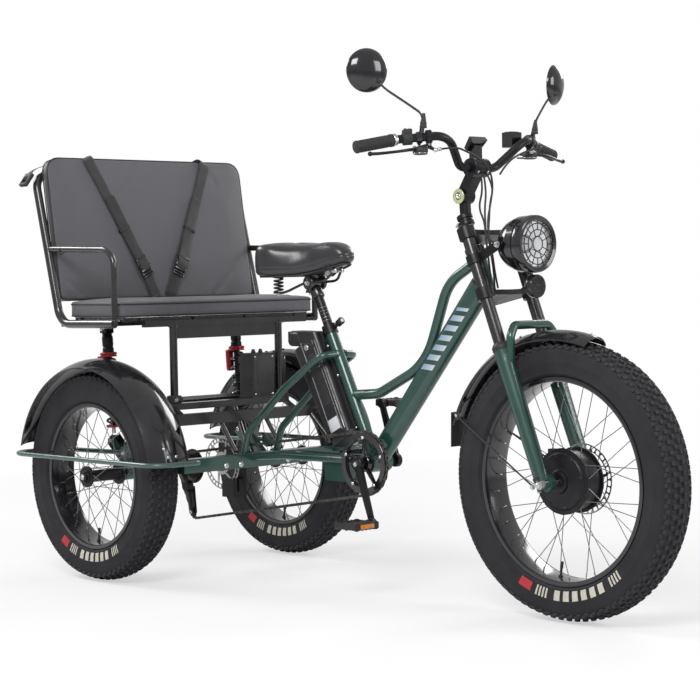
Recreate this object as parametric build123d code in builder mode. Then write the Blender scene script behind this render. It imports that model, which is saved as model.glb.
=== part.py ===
from build123d import *
from math import cos, radians, sin, tan
import os

# Electric tricycle with a two-place bench over its rear axle.
# Frame: +X ahead, +Y to the rider's left, +Z up, the floor at Z = 0, millimetres.

# Driving dimensions
wheelbase = 1463
rear_axle_x = -736
front_axle_x = rear_axle_x + wheelbase
half_track = 362

front_tyre_radius = 353.5
rear_tyre_radius = 305
front_rim_seat = 253.5
rear_rim_seat = 203
tyre_half_width = 50
rim_half_width = 42
rim_flange_height = 8

head_tilt = 21.5            # degrees back from upright
steering_axis_x = 642       # where the steering axis is at front axle height
leg_offset = 65             # fork legs ahead of the steering axis
leg_spacing = 86.5          # each fork leg from the middle plane
stanchion_radius = 16

bottom_bracket = (36, 0, 360)
crank_length = 170
crank_angle = 295           # degrees from +X towards +Z, right arm

bench_half_width = 388
bench_tube_radius = 12.5
seat_top = 813
guard_height = 358
guard_front = -369
guard_rear = rear_axle_x - 337.5
shock_y = 248                # each shock absorber from the middle plane

os.makedirs("parts", exist_ok=True)


# ---------------------------------------------------------------- helpers

def finish(part, label):
    part.part.label = label
    export_step(part.part, "parts/" + label + ".step")


def bent_bar(points, bends, radius, mode=Mode.ADD):
    """A round bar along straight runs joined by tangent bends."""
    with BuildLine(mode=Mode.PRIVATE) as path:
        if len(points) == 2:
            Line(points[0], points[1])
        else:
            FilletPolyline(*points, radius=bends)
    wire = path.wire()
    with BuildSketch(Plane(origin=wire @ 0, z_dir=wire % 0), mode=Mode.PRIVATE) as section:
        Circle(radius)
    sweep(section.sketch, path=wire, mode=mode)


def straight_bar(start, end, radius, mode=Mode.ADD):
    start, end = Vector(*start), Vector(*end)
    with BuildSketch(Plane(origin=start, z_dir=end - start), mode=Mode.PRIVATE) as section:
        Circle(radius)
    extrude(section.sketch, amount=(end - start).length, mode=mode)


def flat_bar(start, end, wide_dir, width, thickness, mode=Mode.ADD):
    """A rectangular bar, its width along wide_dir."""
    start, end = Vector(*start), Vector(*end)
    plane = Plane(origin=start, x_dir=Vector(*wide_dir), z_dir=end - start)
    with BuildSketch(plane, mode=Mode.PRIVATE) as section:
        Rectangle(width, thickness)
    extrude(section.sketch, amount=(end - start).length, mode=mode)


def block(low, high, mode=Mode.ADD):
    low, high = Vector(*low), Vector(*high)
    size = high - low
    with Locations((low + high) * 0.5):
        Box(size.X, size.Y, size.Z, mode=mode)


def side_plane(x, y, z):
    """Local x along +X and local y along +Z, seen from the right side."""
    return Plane(origin=(x, y, z), x_dir=(1, 0, 0), z_dir=(0, -1, 0))


def disc(x, y_low, y_high, z, radius, mode=Mode.ADD):
    with BuildSketch(side_plane(x, y_high, z), mode=Mode.PRIVATE) as section:
        Circle(radius)
    extrude(section.sketch, amount=y_high - y_low, mode=mode)


def mirrored(point):
    return (point[0], -point[1], point[2])


# Steering frame: local Z climbs the steering axis, local X is square to it, ahead.
tilt = radians(head_tilt)
steering = Plane(
    origin=(steering_axis_x, 0, front_tyre_radius),
    x_dir=(cos(tilt), 0, sin(tilt)),
    z_dir=(-sin(tilt), 0, cos(tilt)),
)


def on_fork(ahead, left, along):
    place = steering.from_local_coords((ahead, left, along))
    return (place.X, place.Y, place.Z)


# ---------------------------------------------------------------- wheels

def tyre(label, x, y, radius, rim_seat):
    bead = rim_half_width - 4.5
    flange = rim_seat + rim_flange_height
    shoulder = radius - 13
    with BuildPart() as part:
        with BuildSketch(Plane(origin=(x, y, radius), x_dir=(0, 1, 0), z_dir=(1, 0, 0))):
            with BuildLine():
                Polyline((-bead, flange + 1), (-bead, rim_seat), (bead, rim_seat), (bead, flange + 1))
                Line((bead, flange + 1), (rim_half_width, flange + 3))
                ThreePointArc((rim_half_width, flange + 3), (tyre_half_width, radius - 52), (45, shoulder))
                ThreePointArc((45, shoulder), (0, radius), (-45, shoulder))
                ThreePointArc((-45, shoulder), (-tyre_half_width, radius - 52), (-rim_half_width, flange + 3))
                Line((-rim_half_width, flange + 3), (-bead, flange + 1))
            make_face()
        revolve(axis=Axis((x, y, radius), (0, 1, 0)))
    finish(part, label)


def rim(label, x, y, radius, rim_seat):
    """A wide single-wall rim: a band with a hooked flange at each edge."""
    flange = rim_seat + rim_flange_height
    wall = rim_half_width - 4
    with BuildPart() as part:
        with BuildSketch(Plane(origin=(x, y, radius), x_dir=(0, 1, 0), z_dir=(1, 0, 0))):
            with BuildLine():
                Polyline(
                    (-rim_half_width, flange), (-rim_half_width, rim_seat - 3), (-16, rim_seat - 5),
                    (16, rim_seat - 5), (rim_half_width, rim_seat - 3), (rim_half_width, flange),
                    (wall, flange), (wall, rim_seat), (-wall, rim_seat), (-wall, flange),
                    close=True,
                )
            make_face()
        revolve(axis=Axis((x, y, radius), (0, 1, 0)))
    finish(part, label)


def spokes(label, x, y, z, rim_seat, flange_radius, flange_y, crossing):
    """Thirty-six spokes, half to each flange, every other one leaning the other way."""
    count = 36
    with BuildPart() as part:
        for number in range(count):
            side = 1 if number % 2 == 0 else -1
            lean = crossing if (number // 2) % 2 == 0 else -crossing
            outer = radians(number * 360 / count)
            inner = outer + radians(lean)
            inner_radius = flange_radius + 1.4
            outer_radius = rim_seat - 5.6
            start = (x + inner_radius * cos(inner), y + side * flange_y, z + inner_radius * sin(inner))
            end = (x + outer_radius * cos(outer), y + side * 7, z + outer_radius * sin(outer))
            straight_bar(start, end, 1.1)
    finish(part, label)


def rear_hub(label, x, y, z):
    with BuildPart() as part:
        disc(x, y - 64, y + 64, z, 18)
        for side in (-1, 1):
            middle = y + side * 57
            disc(x, middle - 4, middle + 4, z, 31)
        disc(x, y - 66, y + 66, z, 9, mode=Mode.SUBTRACT)
    finish(part, label)


def rear_wheel(side_name, y):
    x, z = rear_axle_x, rear_tyre_radius
    tyre("rear_tyre_" + side_name, x, y, rear_tyre_radius, rear_rim_seat)
    rim("rear_rim_" + side_name, x, y, rear_tyre_radius, rear_rim_seat)
    rear_hub("rear_hub_" + side_name, x, y, z)
    spokes("rear_spokes_" + side_name, x, y, z, rear_rim_seat, 31, 57, 40)


rear_wheel("right", -half_track)
rear_wheel("left", half_track)

tyre("front_tyre", front_axle_x, 0, front_tyre_radius, front_rim_seat)
rim("front_rim", front_axle_x, 0, front_tyre_radius, front_rim_seat)
spokes("front_spokes", front_axle_x, 0, front_tyre_radius, front_rim_seat, 84, 29, 22)

with BuildPart() as front_hub_motor:
    disc(front_axle_x, -38, 38, front_tyre_radius, 78)
    for flange_y in (-29, 29):
        disc(front_axle_x, flange_y - 3, flange_y + 3, front_tyre_radius, 84)
    disc(front_axle_x, 38, 52, front_tyre_radius, 34)
    disc(front_axle_x, -50, -38, front_tyre_radius, 40)
    disc(front_axle_x, -60, 60, front_tyre_radius, 7.5, mode=Mode.SUBTRACT)
finish(front_hub_motor, "front_hub_motor")

rotor_y = 53
with BuildPart() as front_brake_rotor:
    disc(front_axle_x, rotor_y, rotor_y + 2, front_tyre_radius, 90)
    disc(front_axle_x, rotor_y - 1, rotor_y + 3, front_tyre_radius, 72, mode=Mode.SUBTRACT)
    disc(front_axle_x, rotor_y, rotor_y + 2, front_tyre_radius, 34)
    for number in range(6):
        angle = radians(number * 60)
        reach = (front_axle_x + 76 * cos(angle), rotor_y + 1, front_tyre_radius + 76 * sin(angle))
        root = (front_axle_x + 30 * cos(angle), rotor_y + 1, front_tyre_radius + 30 * sin(angle))
        flat_bar(root, reach, (0, 1, 0), 2, 9)
    disc(front_axle_x, rotor_y - 1, rotor_y + 3, front_tyre_radius, 12, mode=Mode.SUBTRACT)
finish(front_brake_rotor, "front_brake_rotor")

# ---------------------------------------------------------------- fork

crown_low, crown_high = 479, 644
crown_thickness = 14
leg_top, leg_foot = 333, -46
axle_ahead, axle_along = 79, -31

with BuildPart() as fork_crowns:
    for level in (crown_low, crown_high):
        with BuildSketch(steering.offset(level - crown_thickness / 2)):
            with BuildLine():
                Polyline(
                    (-17, -12), (leg_offset - 8, -leg_spacing), (leg_offset + 12, -leg_spacing),
                    (leg_offset + 8, 0), (leg_offset + 12, leg_spacing), (leg_offset - 8, leg_spacing),
                    (-17, 12), close=True,
                )
            make_face()
        extrude(amount=crown_thickness)
        for side in (-1, 1):
            with BuildSketch(steering.offset(level - 15)):
                with Locations((leg_offset, side * leg_spacing)):
                    Circle(stanchion_radius + 7)
            extrude(amount=30)
    with BuildSketch(steering.offset(crown_low - 8)):
        Circle(15)
    extrude(amount=crown_high + 46 - crown_low)
    with BuildSketch(steering.offset(crown_high - 7)):
        Circle(22)
    extrude(amount=34)
    for side in (-1, 1):
        with BuildSketch(steering.offset(crown_low - 40)):
            with Locations((leg_offset, side * leg_spacing)):
                Circle(stanchion_radius)
        extrude(amount=230, mode=Mode.SUBTRACT)
    with BuildSketch(steering.offset(crown_high - 10)):
        Circle(11.4)
    extrude(amount=80, mode=Mode.SUBTRACT)
finish(fork_crowns, "fork_crowns")

with BuildPart() as fork_stanchions:
    for side in (-1, 1):
        with BuildSketch(steering.offset(leg_top - 120)):
            with Locations((leg_offset, side * leg_spacing)):
                Circle(stanchion_radius)
        extrude(amount=crown_high + 18 - leg_top + 120)
finish(fork_stanchions, "fork_stanchions")

with BuildPart() as fork_lowers:
    for side in (-1, 1):
        with BuildSketch(steering.offset(leg_foot)) as foot_section:
            with Locations((leg_offset, side * leg_spacing)):
                Circle(19)
        with BuildSketch(steering.offset(leg_top)) as top_section:
            with Locations((leg_offset, side * leg_spacing)):
                Circle(23)
        loft()
        # dropout lug around the axle
        with BuildSketch(Plane(origin=on_fork(axle_ahead, side * leg_spacing - 8, axle_along),
                               x_dir=(1, 0, 0), z_dir=(0, 1, 0))):
            Circle(21)
        extrude(amount=16)
    half_arch = [on_fork(72, -leg_spacing, 272), on_fork(103, -leg_spacing + 2, 350), on_fork(108, -64, 376)]
    arch = half_arch + [mirrored(point) for point in reversed(half_arch)]
    bent_bar(arch, [26, 16, 16, 26], 11)
    for side in (-1, 1):
        with BuildSketch(steering.offset(leg_top - 120)):
            with Locations((leg_offset, side * leg_spacing)):
                Circle(stanchion_radius)
        extrude(amount=140, mode=Mode.SUBTRACT)
    disc(front_axle_x, -120, 120, front_tyre_radius, 7.5, mode=Mode.SUBTRACT)
finish(fork_lowers, "fork_lowers")

with BuildPart() as front_axle:
    disc(front_axle_x, -122, 122, front_tyre_radius, 7)
    for side in (-1, 1):
        middle = side * 112
        disc(front_axle_x, middle - 5, middle + 5, front_tyre_radius, 12)
finish(front_axle, "front_axle")

# ---------------------------------------------------------------- front fender

def fender_shell(x, y, z, radius, half_width, first, last):
    """A thin curved shell round the tyre, crowned across, from one angle to another."""
    wall = 2
    with BuildPart(mode=Mode.PRIVATE) as shell:
        with BuildSketch(Plane(origin=(x, y, z), x_dir=(0, 1, 0), z_dir=(1, 0, 0))):
            with BuildLine():
                ThreePointArc((-half_width, radius - 24), (0, radius), (half_width, radius - 24))
                Line((half_width, radius - 24), (half_width - 2, radius - 25))
                ThreePointArc((half_width - 2, radius - 25), (0, radius - wall), (2 - half_width, radius - 25))
                Line((2 - half_width, radius - 25), (-half_width, radius - 24))
            make_face()
        revolve(axis=Axis((x, y, z), (0, -1, 0)), revolution_arc=last - first)
    # turned from straight up to its first angle
    add(shell.part.rotate(Axis((x, y, z), (0, -1, 0)), first - 90))


front_fender_radius = 382
fender_x, fender_z = front_axle_x - 38, 348
stays = []
for side in (-1, 1):
    lug = (front_axle_x - 42, side * 90, front_tyre_radius - 12)
    for angle in (146, 168):
        reach = front_fender_radius - 24
        edge = (fender_x + reach * cos(radians(angle)), side * 60, fender_z + reach * sin(radians(angle)))
        stays.append((lug, edge))

with BuildPart() as front_fender:
    fender_shell(fender_x, 0, fender_z, front_fender_radius, 60, 70, 172.5)
    for start, end in stays:
        straight_bar(start, end, 2.5)
finish(front_fender, "front_fender")

with BuildPart() as front_brake_caliper:
    block((front_axle_x - 112, 46, 378), (front_axle_x - 66, 66, 424))
    block((front_axle_x - 130, rotor_y - 1.5, 340), (front_axle_x - 40, rotor_y + 3.5, 440), mode=Mode.SUBTRACT)
    block((front_axle_x - 112, 46, 416), (front_axle_x - 66, 66, 424))
    block((front_axle_x - 66, 58, 384), (front_axle_x - 56, 66, 424))
finish(front_brake_caliper, "front_brake_caliper")

# ---------------------------------------------------------------- stem and bars

bar_radius = 11.1
grip_end = (362, -372, 1194)
grip_inner = (390, -258, 1215)
bar_bend = (466, -148, 1226)
bar_foot = (426, -66, 1148)
bar_centre = (bar_foot[0], 0, bar_foot[2])
pivot = on_fork(20, 0, 769)

with BuildPart() as stem:
    straight_bar(on_fork(0, 0, crown_high - 6), on_fork(0, 0, crown_high + 70), 11.2)
    straight_bar(on_fork(0, 0, crown_high + 50), on_fork(0, 0, crown_high + 72), 18)
    straight_bar(on_fork(0, 0, crown_high + 60), pivot, 15)
    disc(pivot[0], -21, 21, pivot[2], 20)
    flat_bar(pivot, bar_centre, (0, 1, 0), 32, 30)
    disc(bar_centre[0], -30, 30, bar_centre[2], 23)
    disc(bar_centre[0], -40, 40, bar_centre[2], bar_radius + 1.9, mode=Mode.SUBTRACT)
finish(stem, "stem")

with BuildPart() as handlebar:
    right_half = [grip_end, grip_inner, bar_bend, bar_foot]
    left_half = [mirrored(point) for point in reversed(right_half)]
    bent_bar(right_half + left_half, [60, 55, 40, 40, 55, 60], bar_radius)
    disc(bar_centre[0], -31, 31, bar_centre[2], bar_radius + 1.5)
finish(handlebar, "handlebar")


def along_bar(side, share):
    """A point between the grip's inner end and the bar's bend, and the bar's direction there."""
    low = Vector(grip_inner[0], side * abs(grip_inner[1]), grip_inner[2])
    high = Vector(bar_bend[0], side * abs(bar_bend[1]), bar_bend[2])
    return low + (high - low) * share, (high - low).normalized()


with BuildPart() as grips:
    for side in (-1, 1):
        tip = Vector(grip_end[0], side * abs(grip_end[1]), grip_end[2])
        neck = Vector(grip_inner[0], side * abs(grip_inner[1]), grip_inner[2])
        along = (neck - tip).normalized()
        with BuildSketch(Plane(origin=tip - along * 4, z_dir=along)):
            Circle(16.5)
        extrude(amount=110.5)
        with BuildSketch(Plane(origin=tip, z_dir=along)):
            Circle(bar_radius)
        extrude(amount=120, mode=Mode.SUBTRACT)
finish(grips, "grips")

with BuildPart() as brake_levers:
    for side in (-1, 1):
        # switch block and clamp beside the grip
        place, along = along_bar(side, 0.2)
        straight_bar(place - along * 12, place + along * 12, 17)
        straight_bar(place, place + Vector(0, 0, 24), 12)
        # lever and shifter body under the bar, with its blade ahead of the grip
        place, along = along_bar(side, 0.6)
        straight_bar(place - along * 8, place + along * 12, 18)
        level = along.cross(Vector(0, 0, side)).normalized()
        with BuildSketch(Plane(origin=place - level * 13, x_dir=along, z_dir=level)) as body_shape:
            with BuildLine():
                under = -side
                Polyline(
                    (-38, under * 16.5), (32, under * 17), (20, under * 34), (2, under * 52),
                    (-26, under * 44), close=True,
                )
            make_face()
        extrude(amount=26)
        bent_bar([(422, side * 226, 1190), (432, side * 262, 1186), (407, side * 366, 1175)], [16], 5)
        straight_bar(place - along * 90, place + along * 60, bar_radius, mode=Mode.SUBTRACT)
finish(brake_levers, "brake_levers")

with BuildPart() as display:
    with BuildSketch(Plane(origin=(424, 0, 1206), x_dir=(0, 1, 0), z_dir=(-0.75, 0, 0.66))):
        Trapezoid(60, 38, 80)
    extrude(amount=13)
    block((412, -15, bar_centre[2] + 23.2), (430, 15, 1206))
    # control unit on the left of the bar
    block((392, 134, 1206), (428, 172, 1246))
finish(display, "display")

mirror_turn = -0.36         # how far each glass faces the middle, as a share of facing the rider


def mirror_place(side):
    middle = Vector(392, side * 357, 1383)
    facing = Vector(-0.93, side * mirror_turn, 0.05).normalized()
    return middle, facing


with BuildPart() as mirrors:
    for side in (-1, 1):
        middle, facing = mirror_place(side)
        # clamp on the bar, boot and stalk to the shell's lower inner edge
        place, along = along_bar(side, 0.43)
        straight_bar(place - along * 7, place + along * 7, 15)
        straight_bar(place + Vector(8, 0, 10), (440, side * 212, 1262), 6.5)
        straight_bar(place - along * 30, place + along * 30, bar_radius, mode=Mode.SUBTRACT)
        edge = Vector(398, side * 316, 1344)
        inside = edge * 0.55 + middle * 0.45 - facing * 9
        stalk = [(440, side * 212, 1250), (439, side * 219, 1281), tuple(edge), tuple(inside)]
        bent_bar(stalk, [24, 30], 3.2)
        # dished shell, its open face towards the rider
        with BuildSketch(Plane(origin=middle, x_dir=facing, z_dir=facing.cross(Vector(0, 0, 1)))):
            with BuildLine():
                Polyline((-16, 0), (-16, 30), (0, 55), (9, 55), (9, 50), (6, 50), (6, 0), close=True)
            make_face()
        revolve(axis=Axis(middle, facing))
finish(mirrors, "mirrors")

with BuildPart() as mirror_glasses:
    for side in (-1, 1):
        middle, facing = mirror_place(side)
        with BuildSketch(Plane(origin=middle + facing * 6.3, z_dir=facing)):
            Circle(49.5)
        extrude(amount=2)
finish(mirror_glasses, "mirror_glasses")

# ---------------------------------------------------------------- headlight

lamp_z = 947
with BuildPart() as headlight_housing:
    with BuildSketch(Plane(origin=(0, 0, lamp_z), x_dir=(1, 0, 0), z_dir=(0, -1, 0))):
        with BuildLine():
            Polyline((514, 0), (514, 30))
            ThreePointArc((514, 30), (548, 62), (600, 73))
            Polyline((600, 73), (632, 73), (632, 57), (622, 57), (622, 0), (514, 0))
        make_face()
    revolve(axis=Axis((0, 0, lamp_z), (1, 0, 0)))
finish(headlight_housing, "headlight_housing")

with BuildPart() as headlight_lens:
    with BuildSketch(Plane(origin=(622, 0, lamp_z), x_dir=(0, 1, 0), z_dir=(1, 0, 0))):
        Circle(56.8)
    extrude(amount=6)
finish(headlight_lens, "headlight_lens")

with BuildPart() as headlight_bracket:
    for side in (-1, 1):
        band_low, band_high = on_fork(leg_offset, side * leg_spacing, 560), on_fork(leg_offset, side * leg_spacing, 584)
        straight_bar(band_low, band_high, stanchion_radius + 5)
        shelf = on_fork(leg_offset + 16, side * (leg_spacing - 4), 572)
        flat_bar(shelf, (566, side * 78, lamp_z), (0, 0, 1), 24, 4)
        disc(566, min(side * 73.2, side * 82), max(side * 73.2, side * 82), lamp_z, 9)
    for side in (-1, 1):
        straight_bar(on_fork(leg_offset, side * leg_spacing, 540), on_fork(leg_offset, side * leg_spacing, 600),
                     stanchion_radius, mode=Mode.SUBTRACT)
finish(headlight_bracket, "headlight_bracket")

with BuildPart() as horn:
    straight_bar((606, 0, 840), (630, 0, 840), 30)
    straight_bar((598, 0, 840), (606, 0, 840), 21)
    block((600, -10, 850), (606, 10, lamp_z - 73.2))
finish(horn, "horn")

# ---------------------------------------------------------------- main frame

seat_tube_top = (-148, 0, 728)
seat_tube_low = (31, 0, 364)
seat_line = (Vector(*seat_tube_top) - Vector(*seat_tube_low)).normalized()
down_tube_angle = 50


def up_seat_tube(distance, behind=0):
    """A point along the seat tube from its top, and behind it."""
    rearward = Vector(-seat_line.Z, 0, seat_line.X)
    place = Vector(*seat_tube_top) + seat_line * distance + rearward * behind
    return (place.X, place.Y, place.Z)


with BuildPart() as main_frame:
    straight_bar(on_fork(0, 0, 496), on_fork(0, 0, 628), 24)
    top_tube = [(-58, 0, 541), (50, 0, 549), (232, 0, 634), (316, 0, 850), (424, 0, 908)]
    bent_bar(top_tube, [90, 190, 125], 14)
    down_dir = (cos(radians(down_tube_angle)), 0, sin(radians(down_tube_angle)))
    with BuildSketch(Plane(origin=(33, 0, 360), x_dir=(0, 1, 0), z_dir=down_dir)) as lower:
        RectangleRounded(46, 58, 21)
    with BuildSketch(Plane(origin=(437, 0, 842), x_dir=(0, 1, 0), z_dir=down_dir)) as upper:
        RectangleRounded(44, 66, 20)
    loft([lower.sketch.face(), upper.sketch.face()])
    straight_bar(seat_tube_low, seat_tube_top, 17.5)
    disc(bottom_bracket[0], -36, 36, bottom_bracket[2], 27)
    straight_bar(on_fork(0, 0, 440), on_fork(0, 0, 660), 17, mode=Mode.SUBTRACT)
    straight_bar(up_seat_tube(-160), up_seat_tube(60), 13.6, mode=Mode.SUBTRACT)
    disc(bottom_bracket[0], -40, 40, bottom_bracket[2], 12, mode=Mode.SUBTRACT)
finish(main_frame, "main_frame")

stay_y = 62
beam_x, beam_z = -450, 341
shock_foot_x, shock_foot_z = rear_axle_x - 92, 396

with BuildPart() as rear_stays:
    for side in (-1, 1):
        seat_stay = [(-106, side * 18, 655), (-112, side * stay_y, 652), (-156, side * stay_y, 630),
                     (-270, side * stay_y, 558), (-430, side * stay_y, 428), (beam_x - 8, side * stay_y, beam_z + 6)]
        bent_bar(seat_stay, [20, 60, 200, 50], 10.5)
        chain_stay = [(beam_x + 8, side * 46, beam_z + 10), (-309, side * 36, 362), (22, side * 26, 363)]
        bent_bar(chain_stay, [500], 11)
    block((beam_x - 15, -300, beam_z - 20), (beam_x + 15, 300, beam_z + 20))
    block((-150, -26, 300), (-56, 26, 358))
    straight_bar(up_seat_tube(-420), up_seat_tube(0), 17.5, mode=Mode.SUBTRACT)
    disc(bottom_bracket[0], -40, 40, bottom_bracket[2], 27, mode=Mode.SUBTRACT)
finish(rear_stays, "rear_stays")

# ---------------------------------------------------------------- wheel guards

with BuildPart() as wheel_guards:
    for side in (-1, 1):
        outer, inner = side * 452, side * 276
        points = [
            (beam_x + 16.5, side * 284, beam_z + 9), (guard_front, side * 284, guard_height),
            (guard_front, outer, guard_height), (guard_rear, outer, guard_height),
            (guard_rear, inner, guard_height), (rear_axle_x - 10, inner, guard_height + 6),
        ]
        bent_bar(points, [34, 60, 60, 50], 7)
        disc(rear_axle_x + 4, inner - 9, inner + 9, guard_height + 6, 22)
finish(wheel_guards, "wheel_guards")


with BuildPart() as rear_fenders:
    for side in (-1, 1):
        fender_shell(rear_axle_x, side * (half_track + 3), rear_tyre_radius, 340, 72, 8, 166)
finish(rear_fenders, "rear_fenders")

# ---------------------------------------------------------------- rear axle

with BuildPart() as axle_housing:
    disc(rear_axle_x, -288, -94, rear_tyre_radius, 21)
    disc(rear_axle_x, 112, 288, rear_tyre_radius, 21)
    for side in (-1, 1):
        flat_bar((rear_axle_x, side * 130, rear_tyre_radius), (beam_x - 19, side * 130, beam_z - 3),
                 (0, 1, 0), 14, 40)
        for cheek in (-13.5, 13.5):
            flat_bar((rear_axle_x, side * shock_y + cheek, rear_tyre_radius + 10),
                     (shock_foot_x - 6, side * shock_y + cheek, shock_foot_z + 4), (0, 1, 0), 3, 36)
    disc(rear_axle_x, -300, 300, rear_tyre_radius, 9, mode=Mode.SUBTRACT)
finish(axle_housing, "axle_housing")

with BuildPart() as rear_axle:
    disc(rear_axle_x, -436, 436, rear_tyre_radius, 8.5)
finish(rear_axle, "rear_axle")

chain_y = -48
with BuildPart() as cassette:
    for number in range(7):
        step = chain_y + 15 - number * 5
        disc(rear_axle_x, step, step + 3, rear_tyre_radius, 46 - number * 3)
    disc(rear_axle_x, chain_y - 18, chain_y + 20, rear_tyre_radius, 20)
    disc(rear_axle_x, chain_y - 30, chain_y + 30, rear_tyre_radius, 8.5, mode=Mode.SUBTRACT)
finish(cassette, "cassette")

with BuildPart() as rear_brake_rotor:
    disc(rear_axle_x, 88, 90, rear_tyre_radius, 80)
    disc(rear_axle_x, 84, 94, rear_tyre_radius, 62, mode=Mode.SUBTRACT)
    for number in range(6):
        angle = radians(number * 60)
        reach = (rear_axle_x + 68 * cos(angle), 89, rear_tyre_radius + 68 * sin(angle))
        root = (rear_axle_x + 18 * cos(angle), 89, rear_tyre_radius + 18 * sin(angle))
        flat_bar(root, reach, (0, 1, 0), 2, 9)
    disc(rear_axle_x, 72, 100, rear_tyre_radius, 24)
    disc(rear_axle_x, 70, 102, rear_tyre_radius, 8.5, mode=Mode.SUBTRACT)
finish(rear_brake_rotor, "rear_brake_rotor")

with BuildPart() as rear_brake_caliper:
    block((rear_axle_x + 20, 70, 205), (rear_axle_x + 74, 108, 258))
    block((rear_axle_x - 100, 85.5, 200), (rear_axle_x + 90, 92.5, 400), mode=Mode.SUBTRACT)
    block((rear_axle_x + 20, 70, 205), (rear_axle_x + 74, 108, 222))
    block((rear_axle_x + 40, 110, 222), (rear_axle_x + 74, 122, 330))
    block((rear_axle_x + 44, 100, 205), (rear_axle_x + 74, 122, 240))
finish(rear_brake_caliper, "rear_brake_caliper")

# ---------------------------------------------------------------- drive

ring_radius = 82
lower_pulley = (rear_axle_x + 40, 172)

with BuildPart() as derailleur:
    disc(rear_axle_x + 26, chain_y - 26, chain_y - 4, 246, 17)
    flat_bar((rear_axle_x + 26, chain_y - 15, 246), (lower_pulley[0], chain_y - 15, lower_pulley[1]),
             (0, 1, 0), 5, 26)
    disc(lower_pulley[0], chain_y - 8, chain_y - 17, lower_pulley[1], 17)
    flat_bar((rear_axle_x + 26, chain_y - 20, 246), (rear_axle_x + 6, chain_y - 28, 296),
             (0, 1, 0), 10, 18)
finish(derailleur, "derailleur")

with BuildPart() as chain:
    wheels = [(bottom_bracket[0], bottom_bracket[2], ring_radius + 1),
              (rear_axle_x, rear_tyre_radius, 38), (lower_pulley[0], lower_pulley[1], 16)]
    with BuildSketch(side_plane(0, chain_y + 3.5, 0)):
        with BuildSketch(mode=Mode.PRIVATE) as outer_loop:
            for cx, cz, radius in wheels:
                with Locations((cx, cz)):
                    Circle(radius + 7)
            make_hull()
        with BuildSketch(mode=Mode.PRIVATE) as inner_loop:
            for cx, cz, radius in wheels:
                with Locations((cx, cz)):
                    Circle(radius)
            make_hull()
        add(outer_loop.sketch)
        add(inner_loop.sketch, mode=Mode.SUBTRACT)
    extrude(amount=7)
finish(chain, "chain")

with BuildPart() as chainring:
    disc(bottom_bracket[0], chain_y - 2, chain_y + 2, bottom_bracket[2], ring_radius)
    disc(bottom_bracket[0], chain_y - 4, chain_y + 4, bottom_bracket[2], 68, mode=Mode.SUBTRACT)
    for number in range(5):
        angle = radians(number * 72 + 18)
        reach = (bottom_bracket[0] + 72 * cos(angle), chain_y, bottom_bracket[2] + 72 * sin(angle))
        root = (bottom_bracket[0], chain_y, bottom_bracket[2])
        flat_bar(root, reach, (0, 1, 0), 4, 16)
    disc(bottom_bracket[0], chain_y - 7, chain_y + 7, bottom_bracket[2], 24)
    disc(bottom_bracket[0], -58, 58, bottom_bracket[2], 8, mode=Mode.SUBTRACT)
finish(chainring, "chainring")


def crank_tip(side):
    angle = radians(crank_angle if side < 0 else crank_angle - 180)
    return (bottom_bracket[0] + crank_length * cos(angle), bottom_bracket[2] + crank_length * sin(angle))


with BuildPart() as crank_arms:
    disc(bottom_bracket[0], -78, 78, bottom_bracket[2], 8)
    for side in (-1, 1):
        tip_x, tip_z = crank_tip(side)
        middle, outward = side * 73, side * 92
        disc(bottom_bracket[0], middle - 8, middle + 8, bottom_bracket[2], 19)
        flat_bar((bottom_bracket[0], middle, bottom_bracket[2]), (tip_x, outward, tip_z),
                 (0, 1, 0), 13, 24)
        disc(tip_x, outward - 7, outward + 7, tip_z, 14)
finish(crank_arms, "crank_arms")


def pedal(label, side):
    tip_x, tip_z = crank_tip(side)
    near, far = side * 104, side * 196
    low, high = min(near, far), max(near, far)
    with BuildPart() as part:
        block((tip_x - 42, low, tip_z - 11), (tip_x + 42, high, tip_z + 11))
        disc(tip_x, min(side * 99.2, near), max(side * 99.2, near), tip_z, 8)
        for slot in (-24, 24):
            block((tip_x + slot - 12, low + 12, tip_z - 20), (tip_x + slot + 12, high - 12, tip_z + 20),
                  mode=Mode.SUBTRACT)
    finish(part, label)


pedal("pedal_right", -1)
pedal("pedal_left", 1)

# ---------------------------------------------------------------- saddle and battery

with BuildPart() as seatpost:
    straight_bar(up_seat_tube(-150), up_seat_tube(124), 13.5)
finish(seatpost, "seatpost")

with BuildPart() as seatpost_clamp:
    straight_bar(up_seat_tube(-20), up_seat_tube(6), 21)
    straight_bar(up_seat_tube(-22), up_seat_tube(0), 17.5, mode=Mode.SUBTRACT)
    straight_bar(up_seat_tube(-30), up_seat_tube(20), 13.5, mode=Mode.SUBTRACT)
    straight_bar(up_seat_tube(-9, -20), up_seat_tube(-5, -44), 5)
    straight_bar(up_seat_tube(-6, -38), up_seat_tube(-4, -50), 10)
finish(seatpost_clamp, "seatpost_clamp")

with BuildPart() as saddle_rails:
    clamp_place = up_seat_tube(128)
    rail_level = clamp_place[2] + 14
    straight_bar((clamp_place[0], -32, clamp_place[2] + 12), (clamp_place[0], 32, clamp_place[2] + 12), 15)
    straight_bar(up_seat_tube(100), up_seat_tube(135), 17)
    for side in (-1, 1):
        rail = [(-290, side * 62, 828), (-218, side * 26, rail_level - 4), (-140, side * 24, rail_level),
                (-106, side * 12, 891)]
        bent_bar(rail, [40, 30], 4)
        # spring under the saddle's rear
        straight_bar((-290, side * 62, 826), (-290, side * 62, 872.5), 14)
    straight_bar(up_seat_tube(90), up_seat_tube(124), 13.5, mode=Mode.SUBTRACT)
finish(saddle_rails, "saddle_rails")

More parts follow.
